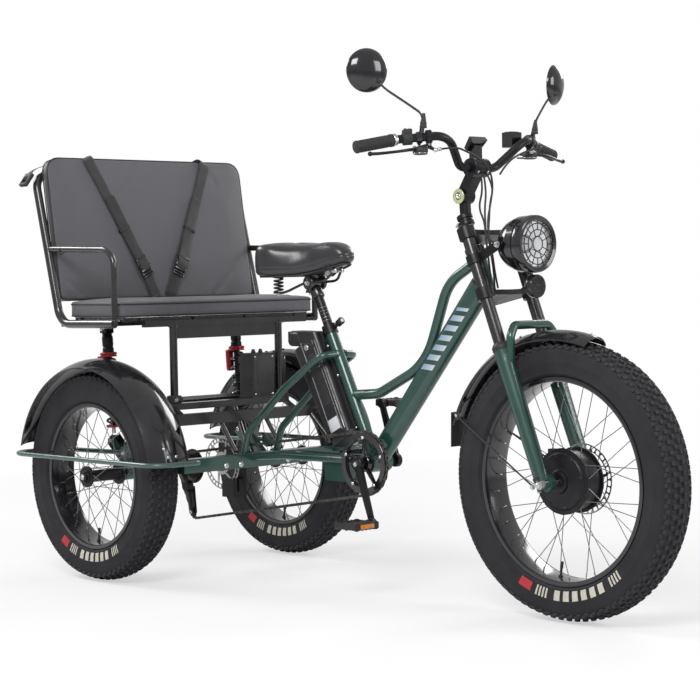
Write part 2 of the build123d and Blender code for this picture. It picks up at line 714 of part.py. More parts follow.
with BuildPart() as saddle:
    with BuildSketch(Plane.XY.offset(860)):
        with BuildLine():
            Line((-58, 0), (-58, 18))
            Spline((-58, 18), (-84, 34), (-156, 44), (-215, 88), (-270, 132))
            Spline((-270, 132), (-325, 120), (-348, 60), (-350, 0))
            mirror(about=Plane.XZ)
        make_face()
    extrude(amount=130)
    with BuildSketch(side_plane(0, 160, 0)):
        with BuildLine():
            Spline((-352, 940), (-330, 960), (-285, 966), (-240, 959), (-186, 961), (-124, 970), (-80, 956),
                   (-57, 914))
            Polyline((-57, 914), (-106, 896), (-200, 873), (-352, 873), (-352, 940))
        make_face()
    extrude(amount=320, mode=Mode.INTERSECT)
finish(saddle, "saddle")

battery_top = 717
with BuildPart() as battery:
    pack_plane = Plane(origin=up_seat_tube(-300, 64), x_dir=(0, 1, 0), z_dir=seat_line)
    with BuildSketch(pack_plane):
        RectangleRounded(76, 76, 16)
    extrude(amount=345)
    block((-340, -60, battery_top), (-120, 60, battery_top + 90), mode=Mode.SUBTRACT)
    # lifting handle over the rear edge
    block((-296, -24, battery_top - 17), (-250, 24, battery_top - 1))
    block((-296, -24, battery_top - 32), (-286, 24, battery_top - 1))
finish(battery, "battery")

with BuildPart() as battery_cradle:
    low_plane = Plane(origin=up_seat_tube(-318, 60), x_dir=(0, 1, 0), z_dir=seat_line)
    with BuildSketch(low_plane):
        RectangleRounded(80, 90, 18)
    extrude(amount=17.5)
    flat_bar(up_seat_tube(-318, 20), up_seat_tube(-34, 20), (0, 1, 0), 30, 11)
    straight_bar(up_seat_tube(-400), up_seat_tube(0), 17.5, mode=Mode.SUBTRACT)
finish(battery_cradle, "battery_cradle")

# ---------------------------------------------------------------- rear platform

rail_x, rail_z = rear_axle_x + 205, 466
deck_low, deck_high = 491, 510
with BuildPart() as rear_platform:
    block((rail_x - 16, -272, rail_z - 16), (rail_x + 16, 272, rail_z + 16))
    block((rail_x - 78, -226, deck_low), (rail_x - 46, 226, deck_high))
    block((rail_x - 300, -226, deck_low), (rail_x - 270, 226, deck_high))
    for side in (-1, 1):
        edge = side * 216
        block((rail_x - 300, edge - 10, deck_low), (rail_x - 46, edge + 10, deck_high))
        straight_bar((rail_x - 60, edge, deck_low + 9), (rail_x, edge, rail_z), 9)
        strut = [(rail_x, side * 264, rail_z), (beam_x - 20, side * 282, beam_z + 50),
                 (beam_x - 9, side * 282, beam_z + 24)]
        bent_bar(strut, [12], 9)
        straight_bar((rail_x, side * 88, rail_z - 8), (beam_x - 10, side * 88, beam_z + 26), 7)
        straight_bar((rail_x - 280, side * 206, deck_low + 5), (rear_axle_x, side * 206, rear_tyre_radius + 25), 10)
finish(rear_platform, "rear_platform")

with BuildPart() as control_boxes:
    block((rail_x - 102, 78, deck_high + 0.5), (rail_x - 42, 166, 644))
    block((rail_x - 138, 170, deck_high + 0.5), (rail_x - 96, 262, 634))
    fillet(control_boxes.edges().filter_by(Axis.Z), 4)
finish(control_boxes, "control_boxes")


def shock_point(side, distance):
    """A point down the shock absorber from its top eye."""
    top = Vector(rear_axle_x - 118, side * (shock_y + 2), 726)
    foot = Vector(shock_foot_x, side * shock_y, shock_foot_z)
    place = top + (foot - top).normalized() * distance
    return (place.X, place.Y, place.Z)


with BuildPart() as shock_absorbers:
    for side in (-1, 1):
        top, foot = shock_point(side, 0), shock_point(side, 331)
        straight_bar(shock_point(side, 10), shock_point(side, 322), 7)
        straight_bar(shock_point(side, 18), shock_point(side, 92), 17)
        straight_bar(shock_point(side, 92), shock_point(side, 104), 25)
        straight_bar(shock_point(side, 286), shock_point(side, 298), 22)
        disc(top[0], top[1] - 11, top[1] + 11, top[2], 13)
        disc(foot[0], foot[1] - 11, foot[1] + 11, foot[2], 13)
finish(shock_absorbers, "shock_absorbers")

with BuildPart() as shock_springs:
    for side in (-1, 1):
        straight_bar(shock_point(side, 104), shock_point(side, 286), 22)
        straight_bar(shock_point(side, 100), shock_point(side, 290), 7.2, mode=Mode.SUBTRACT)
finish(shock_springs, "shock_springs")

# ---------------------------------------------------------------- bench

back_low, back_top = (-892, 744), (-1004, 1170)
crossbar = (-1032, 1202)
armrest_x = -630
with BuildPart() as bench_frame:
    right_side = [
        (armrest_x, -bench_half_width, 746), (back_low[0], -bench_half_width, back_low[1]),
        (back_top[0], -bench_half_width, back_top[1]), (crossbar[0], -316, crossbar[1]),
    ]
    hoop = right_side + [mirrored(point) for point in reversed(right_side)]
    bent_bar(hoop, [60, 48, 60, 60, 48, 60], bench_tube_radius)
    for side in (-1, 1):
        edge = side * (bench_half_width - 1)
        bent_bar([(-950, edge, 966), (armrest_x, edge, 958), (armrest_x, edge, 746)], [52], 9)
        straight_bar((-596, side * 203, 745), (-596, side * 203, deck_high + 10), 11.5)
        straight_bar((-596, side * 203, 533), (-596, side * 203, deck_high + 0.3), 17)
        block((-884, side * shock_y - 14, 740), (-600, side * shock_y + 14, 752))
    # cross members under the tray, and the apron between the posts
    block((-604, -311, 734), (-588, 311, 752))
    block((-700, -bench_half_width, 738), (-684, bench_half_width, 752))
    block((-890, -bench_half_width, 736), (-874, bench_half_width, 752))
    block((-866, -354, 748), (-632, 354, 763.5))
    block((-599, -214, 698), (-593, 214, 736))
finish(bench_frame, "bench_frame")

with BuildPart() as bench_seat_cushion:
    block((-872, -372, 764), (-621, 372, seat_top))
    fillet(bench_seat_cushion.edges().filter_by(Axis.Z), 20)
    fillet(bench_seat_cushion.edges().group_by(Axis.Z)[-1], 12)
finish(bench_seat_cushion, "bench_seat_cushion")

back_plane = Plane(origin=(-900, 0, 814), x_dir=(0, 1, 0), z_dir=(396, 0, 61))
back_thickness = 34
back_height = 428
with BuildPart() as bench_back_cushion:
    with BuildSketch(back_plane.offset(-back_thickness)):
        with Locations((0, back_height / 2 + 2)):
            RectangleRounded(748, back_height, 50)
    extrude(amount=back_thickness)
    fillet(bench_back_cushion.faces().sort_by(Axis.X)[-1].edges(), 14)
finish(bench_back_cushion, "bench_back_cushion")


def back_point(across, up, proud):
    place = back_plane.from_local_coords((across, up, proud))
    return (place.X, place.Y, place.Z)


with BuildPart() as bench_straps:
    for side in (-1, 1):
        top_end, low_end = back_point(side * 226, 420, 1.6), back_point(side * 27, 12, 1.6)
        across = (Vector(*low_end) - Vector(*top_end)).cross(back_plane.z_dir)
        flat_bar(top_end, low_end, across, 36, 2.4)
        buckle = Vector(*top_end) * 0.28 + Vector(*low_end) * 0.72
        finish_point = Vector(*top_end) * 0.14 + Vector(*low_end) * 0.86
        flat_bar(buckle + back_plane.z_dir * 5, finish_point + back_plane.z_dir * 5, across, 44, 12)
finish(bench_straps, "bench_straps")

# ---------------------------------------------------------------- cables

# Each is held at both ends: its route from the bar or hub, then its radius.
lead_to_display = [(446, 12, 1134), (463, 22, 1100), (446, 24, 1056), (462, 4, 1016), (485, -26, 976),
                   (497, -30, 924), (498, -20, 876), (494, -14, 833)]
lead_to_lamp = [(444, -6, 1126), (449, -4, 1092), (434, -7, 1045), (470, -22, 1006), (490, -42, 964), (510, -22, 949)]
lead_to_head = [(446, 2, 1130), (457, 0, 1090), (457, -8, 1040), (474, -24, 998), (492, -42, 960), (498, -40, 910),
                (493, -28, 866), (488, -22, 829)]
right_hose = [(452, -166, 1190), (478, -134, 1196), (478, -92, 1184), (470, -42, 1172), (470, -2, 1146),
              (468, 14, 1104), (464, 8, 1056), (470, -12, 1010), (496, -36, 968), (507, -34, 920), (503, -22, 874),
              (500, -8, 836)]
left_loop = [(459, 186, 1196.5), (496, 182, 1204), (508, 146, 1200), (490, 100, 1186), (474, 62, 1162),
             (468, 40, 1130)]
cable_radius = 2.6
routes = [lead_to_display, lead_to_lamp, lead_to_head, right_hose, left_loop]


def widest_bends(route):
    """For each corner, 0.45 of its shorter run over the tangent of half its turn."""
    points = [Vector(*point) for point in route]
    radii = []
    for before, corner, after in zip(points, points[1:], points[2:]):
        turn = (corner - before).get_angle(after - corner)
        run = min((corner - before).length, (after - corner).length)
        radii.append(0.45 * run / tan(radians(turn / 2)))
    return radii


with BuildPart() as cables:
    for route in routes:
        bends = widest_bends(route)
        print("cable bends", [round(bend) for bend in bends])
        bent_bar(route, bends, cable_radius)
finish(cables, "cables")
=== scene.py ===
from math import asin, atan2, copysign, cos, degrees, exp, hypot, pi, radians, sin, sqrt
import bpy
from mathutils import Matrix, Vector, noise


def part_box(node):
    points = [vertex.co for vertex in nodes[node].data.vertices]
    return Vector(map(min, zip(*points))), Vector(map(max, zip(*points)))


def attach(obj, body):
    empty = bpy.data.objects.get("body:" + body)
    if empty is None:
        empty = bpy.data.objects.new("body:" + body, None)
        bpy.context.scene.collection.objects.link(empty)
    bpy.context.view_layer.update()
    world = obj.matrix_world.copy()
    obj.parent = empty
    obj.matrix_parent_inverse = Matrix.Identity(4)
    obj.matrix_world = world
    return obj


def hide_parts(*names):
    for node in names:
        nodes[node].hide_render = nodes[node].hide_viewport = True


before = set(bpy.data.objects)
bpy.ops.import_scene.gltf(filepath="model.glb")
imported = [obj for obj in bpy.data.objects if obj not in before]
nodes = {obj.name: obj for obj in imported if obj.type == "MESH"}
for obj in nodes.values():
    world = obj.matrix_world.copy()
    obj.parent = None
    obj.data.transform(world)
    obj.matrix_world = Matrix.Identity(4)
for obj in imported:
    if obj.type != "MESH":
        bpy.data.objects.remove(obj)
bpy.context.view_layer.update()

print("frame loaded:", len(nodes), "nodes")


# Tools for selecting, shaping and placing

def at(x, y, z):
    return Vector((x, y, z))


def leftBy(distance):
    return Vector((0, distance, 0))


def upBy(distance):
    return Vector((0, 0, distance))


def mm(*points):
    return [tuple(number / 1000 for number in point) for point in points]


def sided(name, side):
    return name + ("Left" if side > 0 else "Right")


def newObject(name, data):
    made = bpy.data.objects.new(name, data)
    bpy.context.scene.collection.objects.link(made)
    return made


def named(name):
    # the primitive just added
    piece = bpy.context.object
    piece.name = name
    return piece


def deselectAll():
    bpy.ops.object.select_all(action="DESELECT")


def pick(*pieces):
    deselectAll()
    for piece in pieces:
        piece.select_set(True)
    bpy.context.view_layer.objects.active = pieces[-1]


def settle(piece):
    pick(piece)
    bpy.ops.object.transform_apply(location=True, rotation=True, scale=True)
    return piece


def applyModifiers(piece):
    pick(piece)
    for modifier in list(piece.modifiers):
        bpy.ops.object.modifier_apply(modifier=modifier.name)
    return piece


def smoothed(piece, angle=35):
    pick(piece)
    bpy.ops.object.shade_smooth_by_angle(angle=radians(angle))
    return piece


def selectFaces(piece, test):
    pick(piece)
    bpy.ops.object.mode_set(mode="EDIT")
    bpy.ops.mesh.select_mode(type="FACE")
    bpy.ops.mesh.select_all(action="DESELECT")
    objectMode()
    for face in piece.data.polygons:
        face.select = bool(test(face))
    bpy.ops.object.mode_set(mode="EDIT")


def bevelled(piece, width, segments=2, angle=40):
    bevel = piece.modifiers.new("edges", "BEVEL")
    bevel.width = width
    bevel.segments = segments
    bevel.limit_method = "ANGLE"
    bevel.angle_limit = radians(angle)
    return applyModifiers(piece)


def subdivided(piece, levels=1):
    surface = piece.modifiers.new("round", "SUBSURF")
    surface.levels = levels
    surface.render_levels = levels
    return applyModifiers(piece)


def joined(name, pieces):
    pick(*pieces)
    if len(pieces) > 1:
        bpy.ops.object.join()
    piece = named(name)
    return piece


def towards(direction):
    return Vector(direction).to_track_quat("Z", "Y").to_matrix().to_4x4()


def placed(piece, place, direction=(0, 0, 1), turn=0):
    piece.data.transform(Matrix.Translation(place) @ towards(direction) @ Matrix.Rotation(turn, 4, "Z"))
    return piece


def copied(pattern, name, place, direction=(0, 0, 1), turn=0, size=1):
    piece = newObject(name, pattern.data.copy())
    piece.data.transform(Matrix.Scale(size, 4))
    return placed(piece, place, direction, turn)


def removed(*pieces):
    for piece in pieces:
        bpy.data.objects.remove(piece)


def editAll(piece, kind="VERT"):
    pick(piece)
    bpy.ops.object.mode_set(mode="EDIT")
    bpy.ops.mesh.select_mode(type=kind)
    bpy.ops.mesh.select_all(action="SELECT")


def objectMode():
    bpy.ops.object.mode_set(mode="OBJECT")


def cutBy(piece, *tools):
    for tool in tools:
        cut = piece.modifiers.new("cut", "BOOLEAN")
        cut.operation = "DIFFERENCE"
        cut.solver = "EXACT"
        cut.object = tool
    applyModifiers(piece)
    removed(*tools)


def inFrame(piece, place, sideways, upwards, outwards):
    # from a flat pattern's x, y and z to three directions at a place
    turn = Matrix((sideways, upwards, outwards)).transposed().to_4x4()
    piece.data.transform(Matrix.Translation(place) @ turn)
    if turn.determinant() < 0:
        piece.data.flip_normals()
    return piece


def onCircle(angle, reach=1, y=0):
    # a place round an axle: degrees up from straight ahead, distance, and place along the axle
    turn = radians(angle)
    return at(reach * cos(turn), y, reach * sin(turn))


def turned(name, profile, place=(0, 0, 0), direction=(0, 0, 1), steps=32, angle=360):
    # a chain of extruded points, (radius, height), spun about its axis
    bpy.ops.mesh.primitive_plane_add(size=0.001, location=(0, 0, 0))
    piece = named(name)
    bpy.ops.object.mode_set(mode="EDIT")
    bpy.ops.mesh.select_mode(type="VERT")
    bpy.ops.mesh.select_all(action="SELECT")
    bpy.ops.mesh.merge(type="CENTER")
    bpy.ops.transform.translate(value=(profile[0][0], 0, profile[0][1]))
    for (radius, height), (nextRadius, nextHeight) in zip(profile, profile[1:]):
        step = (nextRadius - radius, 0, nextHeight - height)
        bpy.ops.mesh.extrude_region_move(TRANSFORM_OT_translate={"value": step})
    bpy.ops.mesh.select_all(action="SELECT")
    bpy.ops.mesh.spin(steps=steps, angle=radians(angle), center=(0, 0, 0), axis=(0, 0, 1))
    bpy.ops.mesh.select_all(action="SELECT")
    bpy.ops.mesh.remove_doubles(threshold=0.00001)
    bpy.ops.mesh.normals_make_consistent(inside=False)
    objectMode()
    placed(piece, place, direction)
    return smoothed(piece)


def rod(name, start, end, radius, sides=24, edge=0.0006):
    start, end = Vector(start), Vector(end)
    length = (end - start).length
    edge = min(edge, radius * 0.4, length * 0.3)
    bpy.ops.mesh.primitive_cylinder_add(vertices=sides, radius=radius, depth=length, location=(0, 0, 0))
    piece = placed(bevelled(named(name), edge), (start + end) / 2, end - start)
    return smoothed(piece)


def slab(name, low, high, edge=0.002, segments=2):
    low, high = Vector(low), Vector(high)
    bpy.ops.mesh.primitive_cube_add(size=1, location=(low + high) / 2)
    piece = named(name)
    piece.scale = high - low
    settle(piece)
    bevelled(piece, edge, segments)
    return smoothed(piece)


def bar(name, start, end, across, width, thickness, edge=0.0015, endScale=1.0):
    # a flat bar from start to end, its width along across, narrower at its end by endScale
    start, end = Vector(start), Vector(end)
    along = (end - start).normalized()
    side = Vector(across)
    side = (side - along * side.dot(along)).normalized()
    bpy.ops.mesh.primitive_cube_add(size=1, location=(0, 0, 0))
    piece = named(name)
    piece.scale = (width, thickness, (end - start).length)
    settle(piece)
    if endScale != 1:
        selectFaces(piece, lambda face: face.normal.z > 0.9)
        bpy.ops.transform.resize(value=(endScale, endScale, 1), center_override=(0, 0, 0))
        objectMode()
    bevelled(piece, edge)
    inFrame(piece, (start + end) / 2, side, along.cross(side), along)
    return smoothed(piece)


def ring(name, place, direction, radius, thickness, steps=48, sides=12):
    bpy.ops.mesh.primitive_torus_add(major_radius=radius, minor_radius=thickness, major_segments=steps,
        minor_segments=sides, location=(0, 0, 0))
    piece = placed(named(name), place, direction)
    return smoothed(piece, 60)


def route(name, points, radius, order=3, cyclic=False, weights=None):
    line = bpy.data.curves.new(name, "CURVE")
    line.dimensions = "3D"
    line.resolution_u = 10
    line.bevel_depth = radius
    line.bevel_resolution = 3
    line.use_fill_caps = True
    spline = line.splines.new("NURBS")
    spline.points.add(len(points) - 1)
    for number, (point, place) in enumerate(zip(spline.points, points)):
        point.co = (*place, 1)
        point.radius = weights[number] if weights else 1
    spline.order_u = order
    spline.use_endpoint_u = not cyclic
    spline.use_cyclic_u = cyclic
    return newObject(name, line)


def wire(name, points, radius, order=3, cyclic=False, weights=None):
    piece = route(name, points, radius, order, cyclic, weights)
    pick(piece)
    bpy.ops.object.convert(target="MESH")
    return bpy.context.object


def arrayed(piece, count, axis="Y", angle=None):
    # copies turned about the world's axis through the origin, by the array modifier and an empty
    turn = radians(360 / count if angle is None else angle)
    guide = newObject("guide", None)
    guide.rotation_euler = [turn if letter == axis else 0 for letter in "XYZ"]
    bpy.context.view_layer.update()
    array = piece.modifiers.new("around", "ARRAY")
    array.count = count
    array.use_relative_offset = False
    array.use_object_offset = True
    array.offset_object = guide
    applyModifiers(piece)
    removed(guide)
    return piece


def moved(piece, offset):
    piece.data.transform(Matrix.Translation(offset))
    return piece


def finished(piece, body, finish, *replacedNodes, slot=None):
    piece.data.materials.clear()
    piece.data.materials.append(finishes[finish])
    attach(piece, body)
    if replacedNodes:
        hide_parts(*replacedNodes)
    return piece


# Materials: each is a dictionary of looks made into nodes on Object coordinates

def nodeAt(tree, kind, **values):
    made = tree.nodes.new(kind)
    for key, value in values.items():
        setattr(made, key, value)
    return made


def noiseAt(tree, source, scale, detail=4, roughness=0.55):
    made = nodeAt(tree, "ShaderNodeTexNoise")
    made.inputs["Scale"].default_value = scale
    made.inputs["Detail"].default_value = detail
    made.inputs["Roughness"].default_value = roughness
    tree.links.new(source, made.inputs["Vector"])
    return made.outputs["Fac"]


def mathAt(tree, operation, first, second=0.0, third=0.0):
    made = nodeAt(tree, "ShaderNodeMath", operation=operation)
    for socket, value in zip(made.inputs, (first, second, third)):
        if isinstance(value, (int, float)):
            socket.default_value = value
        else:
            tree.links.new(value, socket)
    return made.outputs[0]


def spread(tree, value, low, high, fromLow=0.3, fromHigh=0.7):
    made = nodeAt(tree, "ShaderNodeMapRange")
    for key, number in zip(("From Min", "From Max", "To Min", "To Max"), (fromLow, fromHigh, low, high)):
        made.inputs[key].default_value = number
    tree.links.new(value, made.inputs["Value"])
    return made.outputs["Result"]


def blended(tree, factor, first, second):
    made = nodeAt(tree, "ShaderNodeMix", data_type="RGBA")
    tree.links.new(factor, made.inputs["Factor"])
    for socket, value in zip((made.inputs[6], made.inputs[7]), (first, second)):
        if isinstance(value, (tuple, list)):
            socket.default_value = (*value, 1)
        else:
            tree.links.new(value, socket)
    return made.outputs[2]


def raised(tree, height, strength, distance, under=None):
    made = nodeAt(tree, "ShaderNodeBump")
    made.inputs["Strength"].default_value = strength
    made.inputs["Distance"].default_value = distance
    tree.links.new(height, made.inputs["Height"])
    if under:
        tree.links.new(under, made.inputs["Normal"])
    return made.outputs["Normal"]


def feed(tree, shader, colour, roughness, normal):
    for socket, value in (("Base Color", colour), ("Roughness", roughness), ("Normal", normal)):
        tree.links.new(value, shader.inputs[socket])


def newFinish(name, look):
    finish = bpy.data.materials.new(name)
    finish.use_nodes = True
    tree = finish.node_tree
    shader = tree.nodes["Principled BSDF"]
    for key in ("Metallic", "IOR", "Alpha", "Coat Weight", "Coat Roughness", "Sheen Weight", "Sheen Roughness",
            "Specular IOR Level", "Emission Strength"):
        if key in look:
            shader.inputs[key].default_value = look[key]
    place = nodeAt(tree, "ShaderNodeTexCoord").outputs["Object"]
    return finish, tree, shader, place


def plainFinish(name, look):
    # colour that drifts between two tones, roughness that varies, and a fine grain
    finish, tree, shader, place = newFinish(name, look)
    drift = noiseAt(tree, place, look["driftScale"], 5, 0.6)
    colour = blended(tree, spread(tree, drift, 0, 1), look["colour"], look["secondColour"])
    if "dust" in look:
        # pale dust, most on what faces up
        facing = nodeAt(tree, "ShaderNodeNewGeometry").outputs["Normal"]
        split = nodeAt(tree, "ShaderNodeSeparateXYZ")
        tree.links.new(facing, split.inputs[0])
        upward = spread(tree, split.outputs["Z"], 0, look["dust"], 0.1, 1.0)
        speck = spread(tree, noiseAt(tree, place, 55, 8, 0.7), 0.2, 1, 0.4, 0.65)
        colour = blended(tree, mathAt(tree, "MULTIPLY", upward, speck), colour, (0.3, 0.29, 0.27))
    smudge = noiseAt(tree, place, look["smudgeScale"], 6, 0.65)
    grain = noiseAt(tree, place, look["grainScale"], 2, 0.5)
    feed(tree, shader, colour, spread(tree, smudge, *look["roughness"]),
        raised(tree, grain, look["grain"], 0.0004))
    return finish


def hideFinish(name, look):
    # leather or vinyl: rounded pebbles with fine creases between them, over broad soft waves; the creases are
    # coloured darker, a painted shade
    finish, tree, shader, place = newFinish(name, look)
    drift = noiseAt(tree, place, look["driftScale"], 4, 0.6)
    pebble = nodeAt(tree, "ShaderNodeTexVoronoi", feature="DISTANCE_TO_EDGE")
    pebble.inputs["Scale"].default_value = look["pebbleScale"]
    wobble = nodeAt(tree, "ShaderNodeVectorMath", operation="ADD")
    stir = nodeAt(tree, "ShaderNodeTexNoise")
    stir.inputs["Scale"].default_value = look["pebbleScale"] * 0.6
    shrink = nodeAt(tree, "ShaderNodeVectorMath", operation="SCALE")
    shrink.inputs["Scale"].default_value = 0.5 / look["pebbleScale"]
    tree.links.new(place, stir.inputs["Vector"])
    tree.links.new(stir.outputs["Color"], shrink.inputs[0])
    tree.links.new(place, wobble.inputs[0])
    tree.links.new(shrink.outputs[0], wobble.inputs[1])
    tree.links.new(wobble.outputs[0], pebble.inputs["Vector"])
    crease = spread(tree, pebble.outputs["Distance"], 0, 1, 0.0, 0.12)
    colour = blended(tree, spread(tree, drift, 0, 1), look["colour"], look["secondColour"])
    # the creases take the darker colour: painted shade in the grain
    colour = blended(tree, crease, look["creaseShadeColour"], colour)
    wave = noiseAt(tree, place, 9, 3, 0.5)
    fine = raised(tree, crease, look["grain"], 0.00035)
    feed(tree, shader, colour, spread(tree, drift, *look["roughness"]),
        raised(tree, wave, look["wave"], 0.004, fine))
    return finish


lookKeys = ("colour", "secondColour", "driftScale", "roughness", "smudgeScale", "grainScale", "grain")
lookRows = {    # the values of lookKeys in turn, then what else the finish has
    "frameGreen": ((0.013, 0.056, 0.043), (0.019, 0.07, 0.055), 14, (0.26, 0.38), 9, 900, 0.06,
        {"Metallic": 0.25, "Coat Weight": 0.7, "Coat Roughness": 0.12, "dust": 0.05}),
    "guardGreen": ((0.045, 0.092, 0.08), (0.06, 0.11, 0.097), 20, (0.25, 0.4), 11, 900, 0.06,
        {"Metallic": 0.3, "Coat Weight": 0.6, "Coat Roughness": 0.15, "dust": 0.08}),
    "blackTube": ((0.009, 0.008, 0.008), (0.016, 0.014, 0.014), 12, (0.2, 0.34), 10, 700, 0.1,
        {"Coat Weight": 0.6, "Coat Roughness": 0.1, "dust": 0.07}),
    "blackAlloy": ((0.01, 0.01, 0.012), (0.019, 0.019, 0.022), 22, (0.3, 0.45), 16, 1500, 0.12,
        {"Metallic": 0.55, "dust": 0.06}),
    "rimAlloy": ((0.016, 0.016, 0.019), (0.024, 0.024, 0.028), 9, (0.16, 0.28), 7, 1200, 0.04,
        {"Metallic": 0.5, "Coat Weight": 0.8, "Coat Roughness": 0.1, "dust": 0.05}),
    "spokeSteel": ((0.16, 0.16, 0.17), (0.24, 0.24, 0.25), 30, (0.3, 0.45), 40, 2000, 0.05, {"Metallic": 0.9}),
    "brightSteel": ((0.58, 0.58, 0.59), (0.68, 0.68, 0.69), 60, (0.16, 0.3), 50, 1800, 0.08, {"Metallic": 1.0}),
    "brakeSteel": ((0.34, 0.34, 0.345), (0.46, 0.46, 0.465), 40, (0.24, 0.4), 30, 1600, 0.1, {"Metallic": 1.0}),
    "chainSteel": ((0.075, 0.07, 0.062), (0.17, 0.16, 0.145), 90, (0.28, 0.48), 60, 1600, 0.1,
        {"Metallic": 0.9}),
    "glossPlastic": ((0.006, 0.006, 0.008), (0.01, 0.01, 0.013), 8, (0.1, 0.22), 8, 260, 0.03,
        {"Coat Weight": 0.5, "Coat Roughness": 0.06, "dust": 0.05}),
    "mattePlastic": ((0.014, 0.014, 0.015), (0.022, 0.022, 0.024), 18, (0.48, 0.66), 24, 2200, 0.35,
        {"dust": 0.07}),
    "packPlastic": ((0.013, 0.013, 0.015), (0.02, 0.02, 0.022), 10, (0.26, 0.4), 12, 1800, 0.18,
        {"dust": 0.05}),
    "softGrip": ((0.015, 0.015, 0.017), (0.024, 0.024, 0.026), 30, (0.6, 0.78), 30, 1500, 0.4, {"dust": 0.05}),
    "mirrorGlass": ((0.62, 0.63, 0.65), (0.66, 0.67, 0.69), 6, (0.02, 0.05), 12, 300, 0.01, {"Metallic": 1.0}),
    "redAnodised": ((0.34, 0.012, 0.018), (0.44, 0.02, 0.03), 30, (0.22, 0.36), 20, 1500, 0.08,
        {"Metallic": 0.5, "Coat Weight": 0.4}),
    "amberReflector": ((0.62, 0.17, 0.01), (0.75, 0.25, 0.02), 60, (0.12, 0.25), 60, 420, 0.9,
        {"Coat Weight": 0.8}),
    "paleRing": ((0.52, 0.56, 0.3), (0.62, 0.66, 0.38), 60, (0.3, 0.45), 60, 900, 0.1, {"Metallic": 0.2}),
    "whiteLabel": ((0.6, 0.61, 0.63), (0.68, 0.69, 0.71), 20, (0.35, 0.5), 30, 800, 0.08, {}),
    "creamInk": ((0.5, 0.48, 0.4), (0.62, 0.6, 0.52), 60, (0.6, 0.8), 60, 1200, 0.3, {}),
    "redInk": ((0.4, 0.02, 0.03), (0.5, 0.04, 0.05), 60, (0.6, 0.8), 60, 1200, 0.3, {}),
    "tyreRubber": ((0.018, 0.018, 0.021), (0.028, 0.028, 0.032), 12, (0.66, 0.85), 20, 1400, 0.45,
        {"dust": 0.06, "Specular IOR Level": 0.25}),
    "treadRubber": ((0.015, 0.015, 0.019), (0.03, 0.03, 0.036), 30, (0.6, 0.8), 30, 1400, 0.4, {"dust": 0.1,
        "Specular IOR Level": 0.35}),
    # the bowl's near-white colour and faint glow are a painted reflection of the bright studio; the lamp is not
    # lit
    "reflectorBowlPaintedGlow": ((0.82, 0.83, 0.84), (0.88, 0.89, 0.9), 30, (0.12, 0.25), 20, 300, 0.15,
        {"Metallic": 0.25, "Emission Strength": 0.22}),
    "apronPlate": ((0.026, 0.021, 0.02), (0.038, 0.03, 0.028), 9, (0.42, 0.56), 14, 1600, 0.25, {"dust": 0.05}),
}
finishes = {name: plainFinish(name, {**dict(zip(lookKeys, row)), **extras}) for name,
    (*row, extras) in lookRows.items()}
# the crease colours below are painted shade in the grain's creases
finishes["seatVinyl"] = hideFinish("seatVinyl", {"colour": (0.088, 0.086, 0.098),
    "secondColour": (0.106, 0.103, 0.116), "creaseShadeColour": (0.06, 0.058, 0.067), "driftScale": 7,
    "pebbleScale": 620, "roughness": (0.46, 0.6), "grain": 0.4, "wave": 0.35, "Sheen Weight": 0.25,
    "Sheen Roughness": 0.5})
finishes["saddleSkin"] = hideFinish("saddleSkin", {"colour": (0.022, 0.022, 0.025),
    "secondColour": (0.034, 0.034, 0.038), "creaseShadeColour": (0.012, 0.012, 0.014), "driftScale": 10,
    "pebbleScale": 520, "roughness": (0.26, 0.34), "grain": 0.14, "wave": 0.04, "Coat Weight": 0.3,
    "Coat Roughness": 0.22})


def stripedPaint():
    # the frame's green with slanted pale bars on the sides of the down tube
    marks = {"foot": (0.033, 0.36), "angle": 50, "first": 0.325, "last": 0.555, "half": 0.017, "pitch": 0.034,
        "share": 0.55, "slant": 0.7}
    finish = finishes["frameGreen"].copy()
    finish.name = "frameGreenStriped"
    tree = finish.node_tree
    shader = tree.nodes["Principled BSDF"]
    painted = shader.inputs["Base Color"].links[0].from_socket
    split = nodeAt(tree, "ShaderNodeSeparateXYZ")
    tree.links.new(nodeAt(tree, "ShaderNodeTexCoord").outputs["Object"], split.inputs[0])
    ahead = mathAt(tree, "SUBTRACT", split.outputs["X"], marks["foot"][0])
    above = mathAt(tree, "SUBTRACT", split.outputs["Z"], marks["foot"][1])
    cosine, sine = cos(radians(marks["angle"])), sin(radians(marks["angle"]))
    along = mathAt(tree, "ADD", mathAt(tree, "MULTIPLY", ahead, cosine), mathAt(tree, "MULTIPLY", above, sine))
    across = mathAt(tree, "SUBTRACT", mathAt(tree, "MULTIPLY", above, cosine),
        mathAt(tree, "MULTIPLY", ahead, sine))
    slanted = mathAt(tree, "ADD", along, mathAt(tree, "MULTIPLY", across, marks["slant"]))
    bars = mathAt(tree, "LESS_THAN", mathAt(tree, "FRACT", mathAt(tree, "DIVIDE", slanted, marks["pitch"])),
        marks["share"])
    middle = (marks["first"] + marks["last"]) / 2
    within = mathAt(tree, "LESS_THAN", mathAt(tree, "ABSOLUTE", mathAt(tree, "SUBTRACT", slanted, middle)),
        (marks["last"] - marks["first"]) / 2)
    level = mathAt(tree, "LESS_THAN", mathAt(tree, "ABSOLUTE", across), marks["half"])
    aside = mathAt(tree, "GREATER_THAN", mathAt(tree, "ABSOLUTE", split.outputs["Y"]), 0.012)
    mask = mathAt(tree, "MULTIPLY", mathAt(tree, "MULTIPLY", bars, within),
        mathAt(tree, "MULTIPLY", level, aside))
    fade = spread(tree, across, 0, 1, -marks["half"], marks["half"])
    ink = blended(tree, fade, (0.62, 0.66, 0.7), (0.22, 0.36, 0.52))
    tree.links.new(blended(tree, mask, painted, ink), shader.inputs["Base Color"])
    return finish


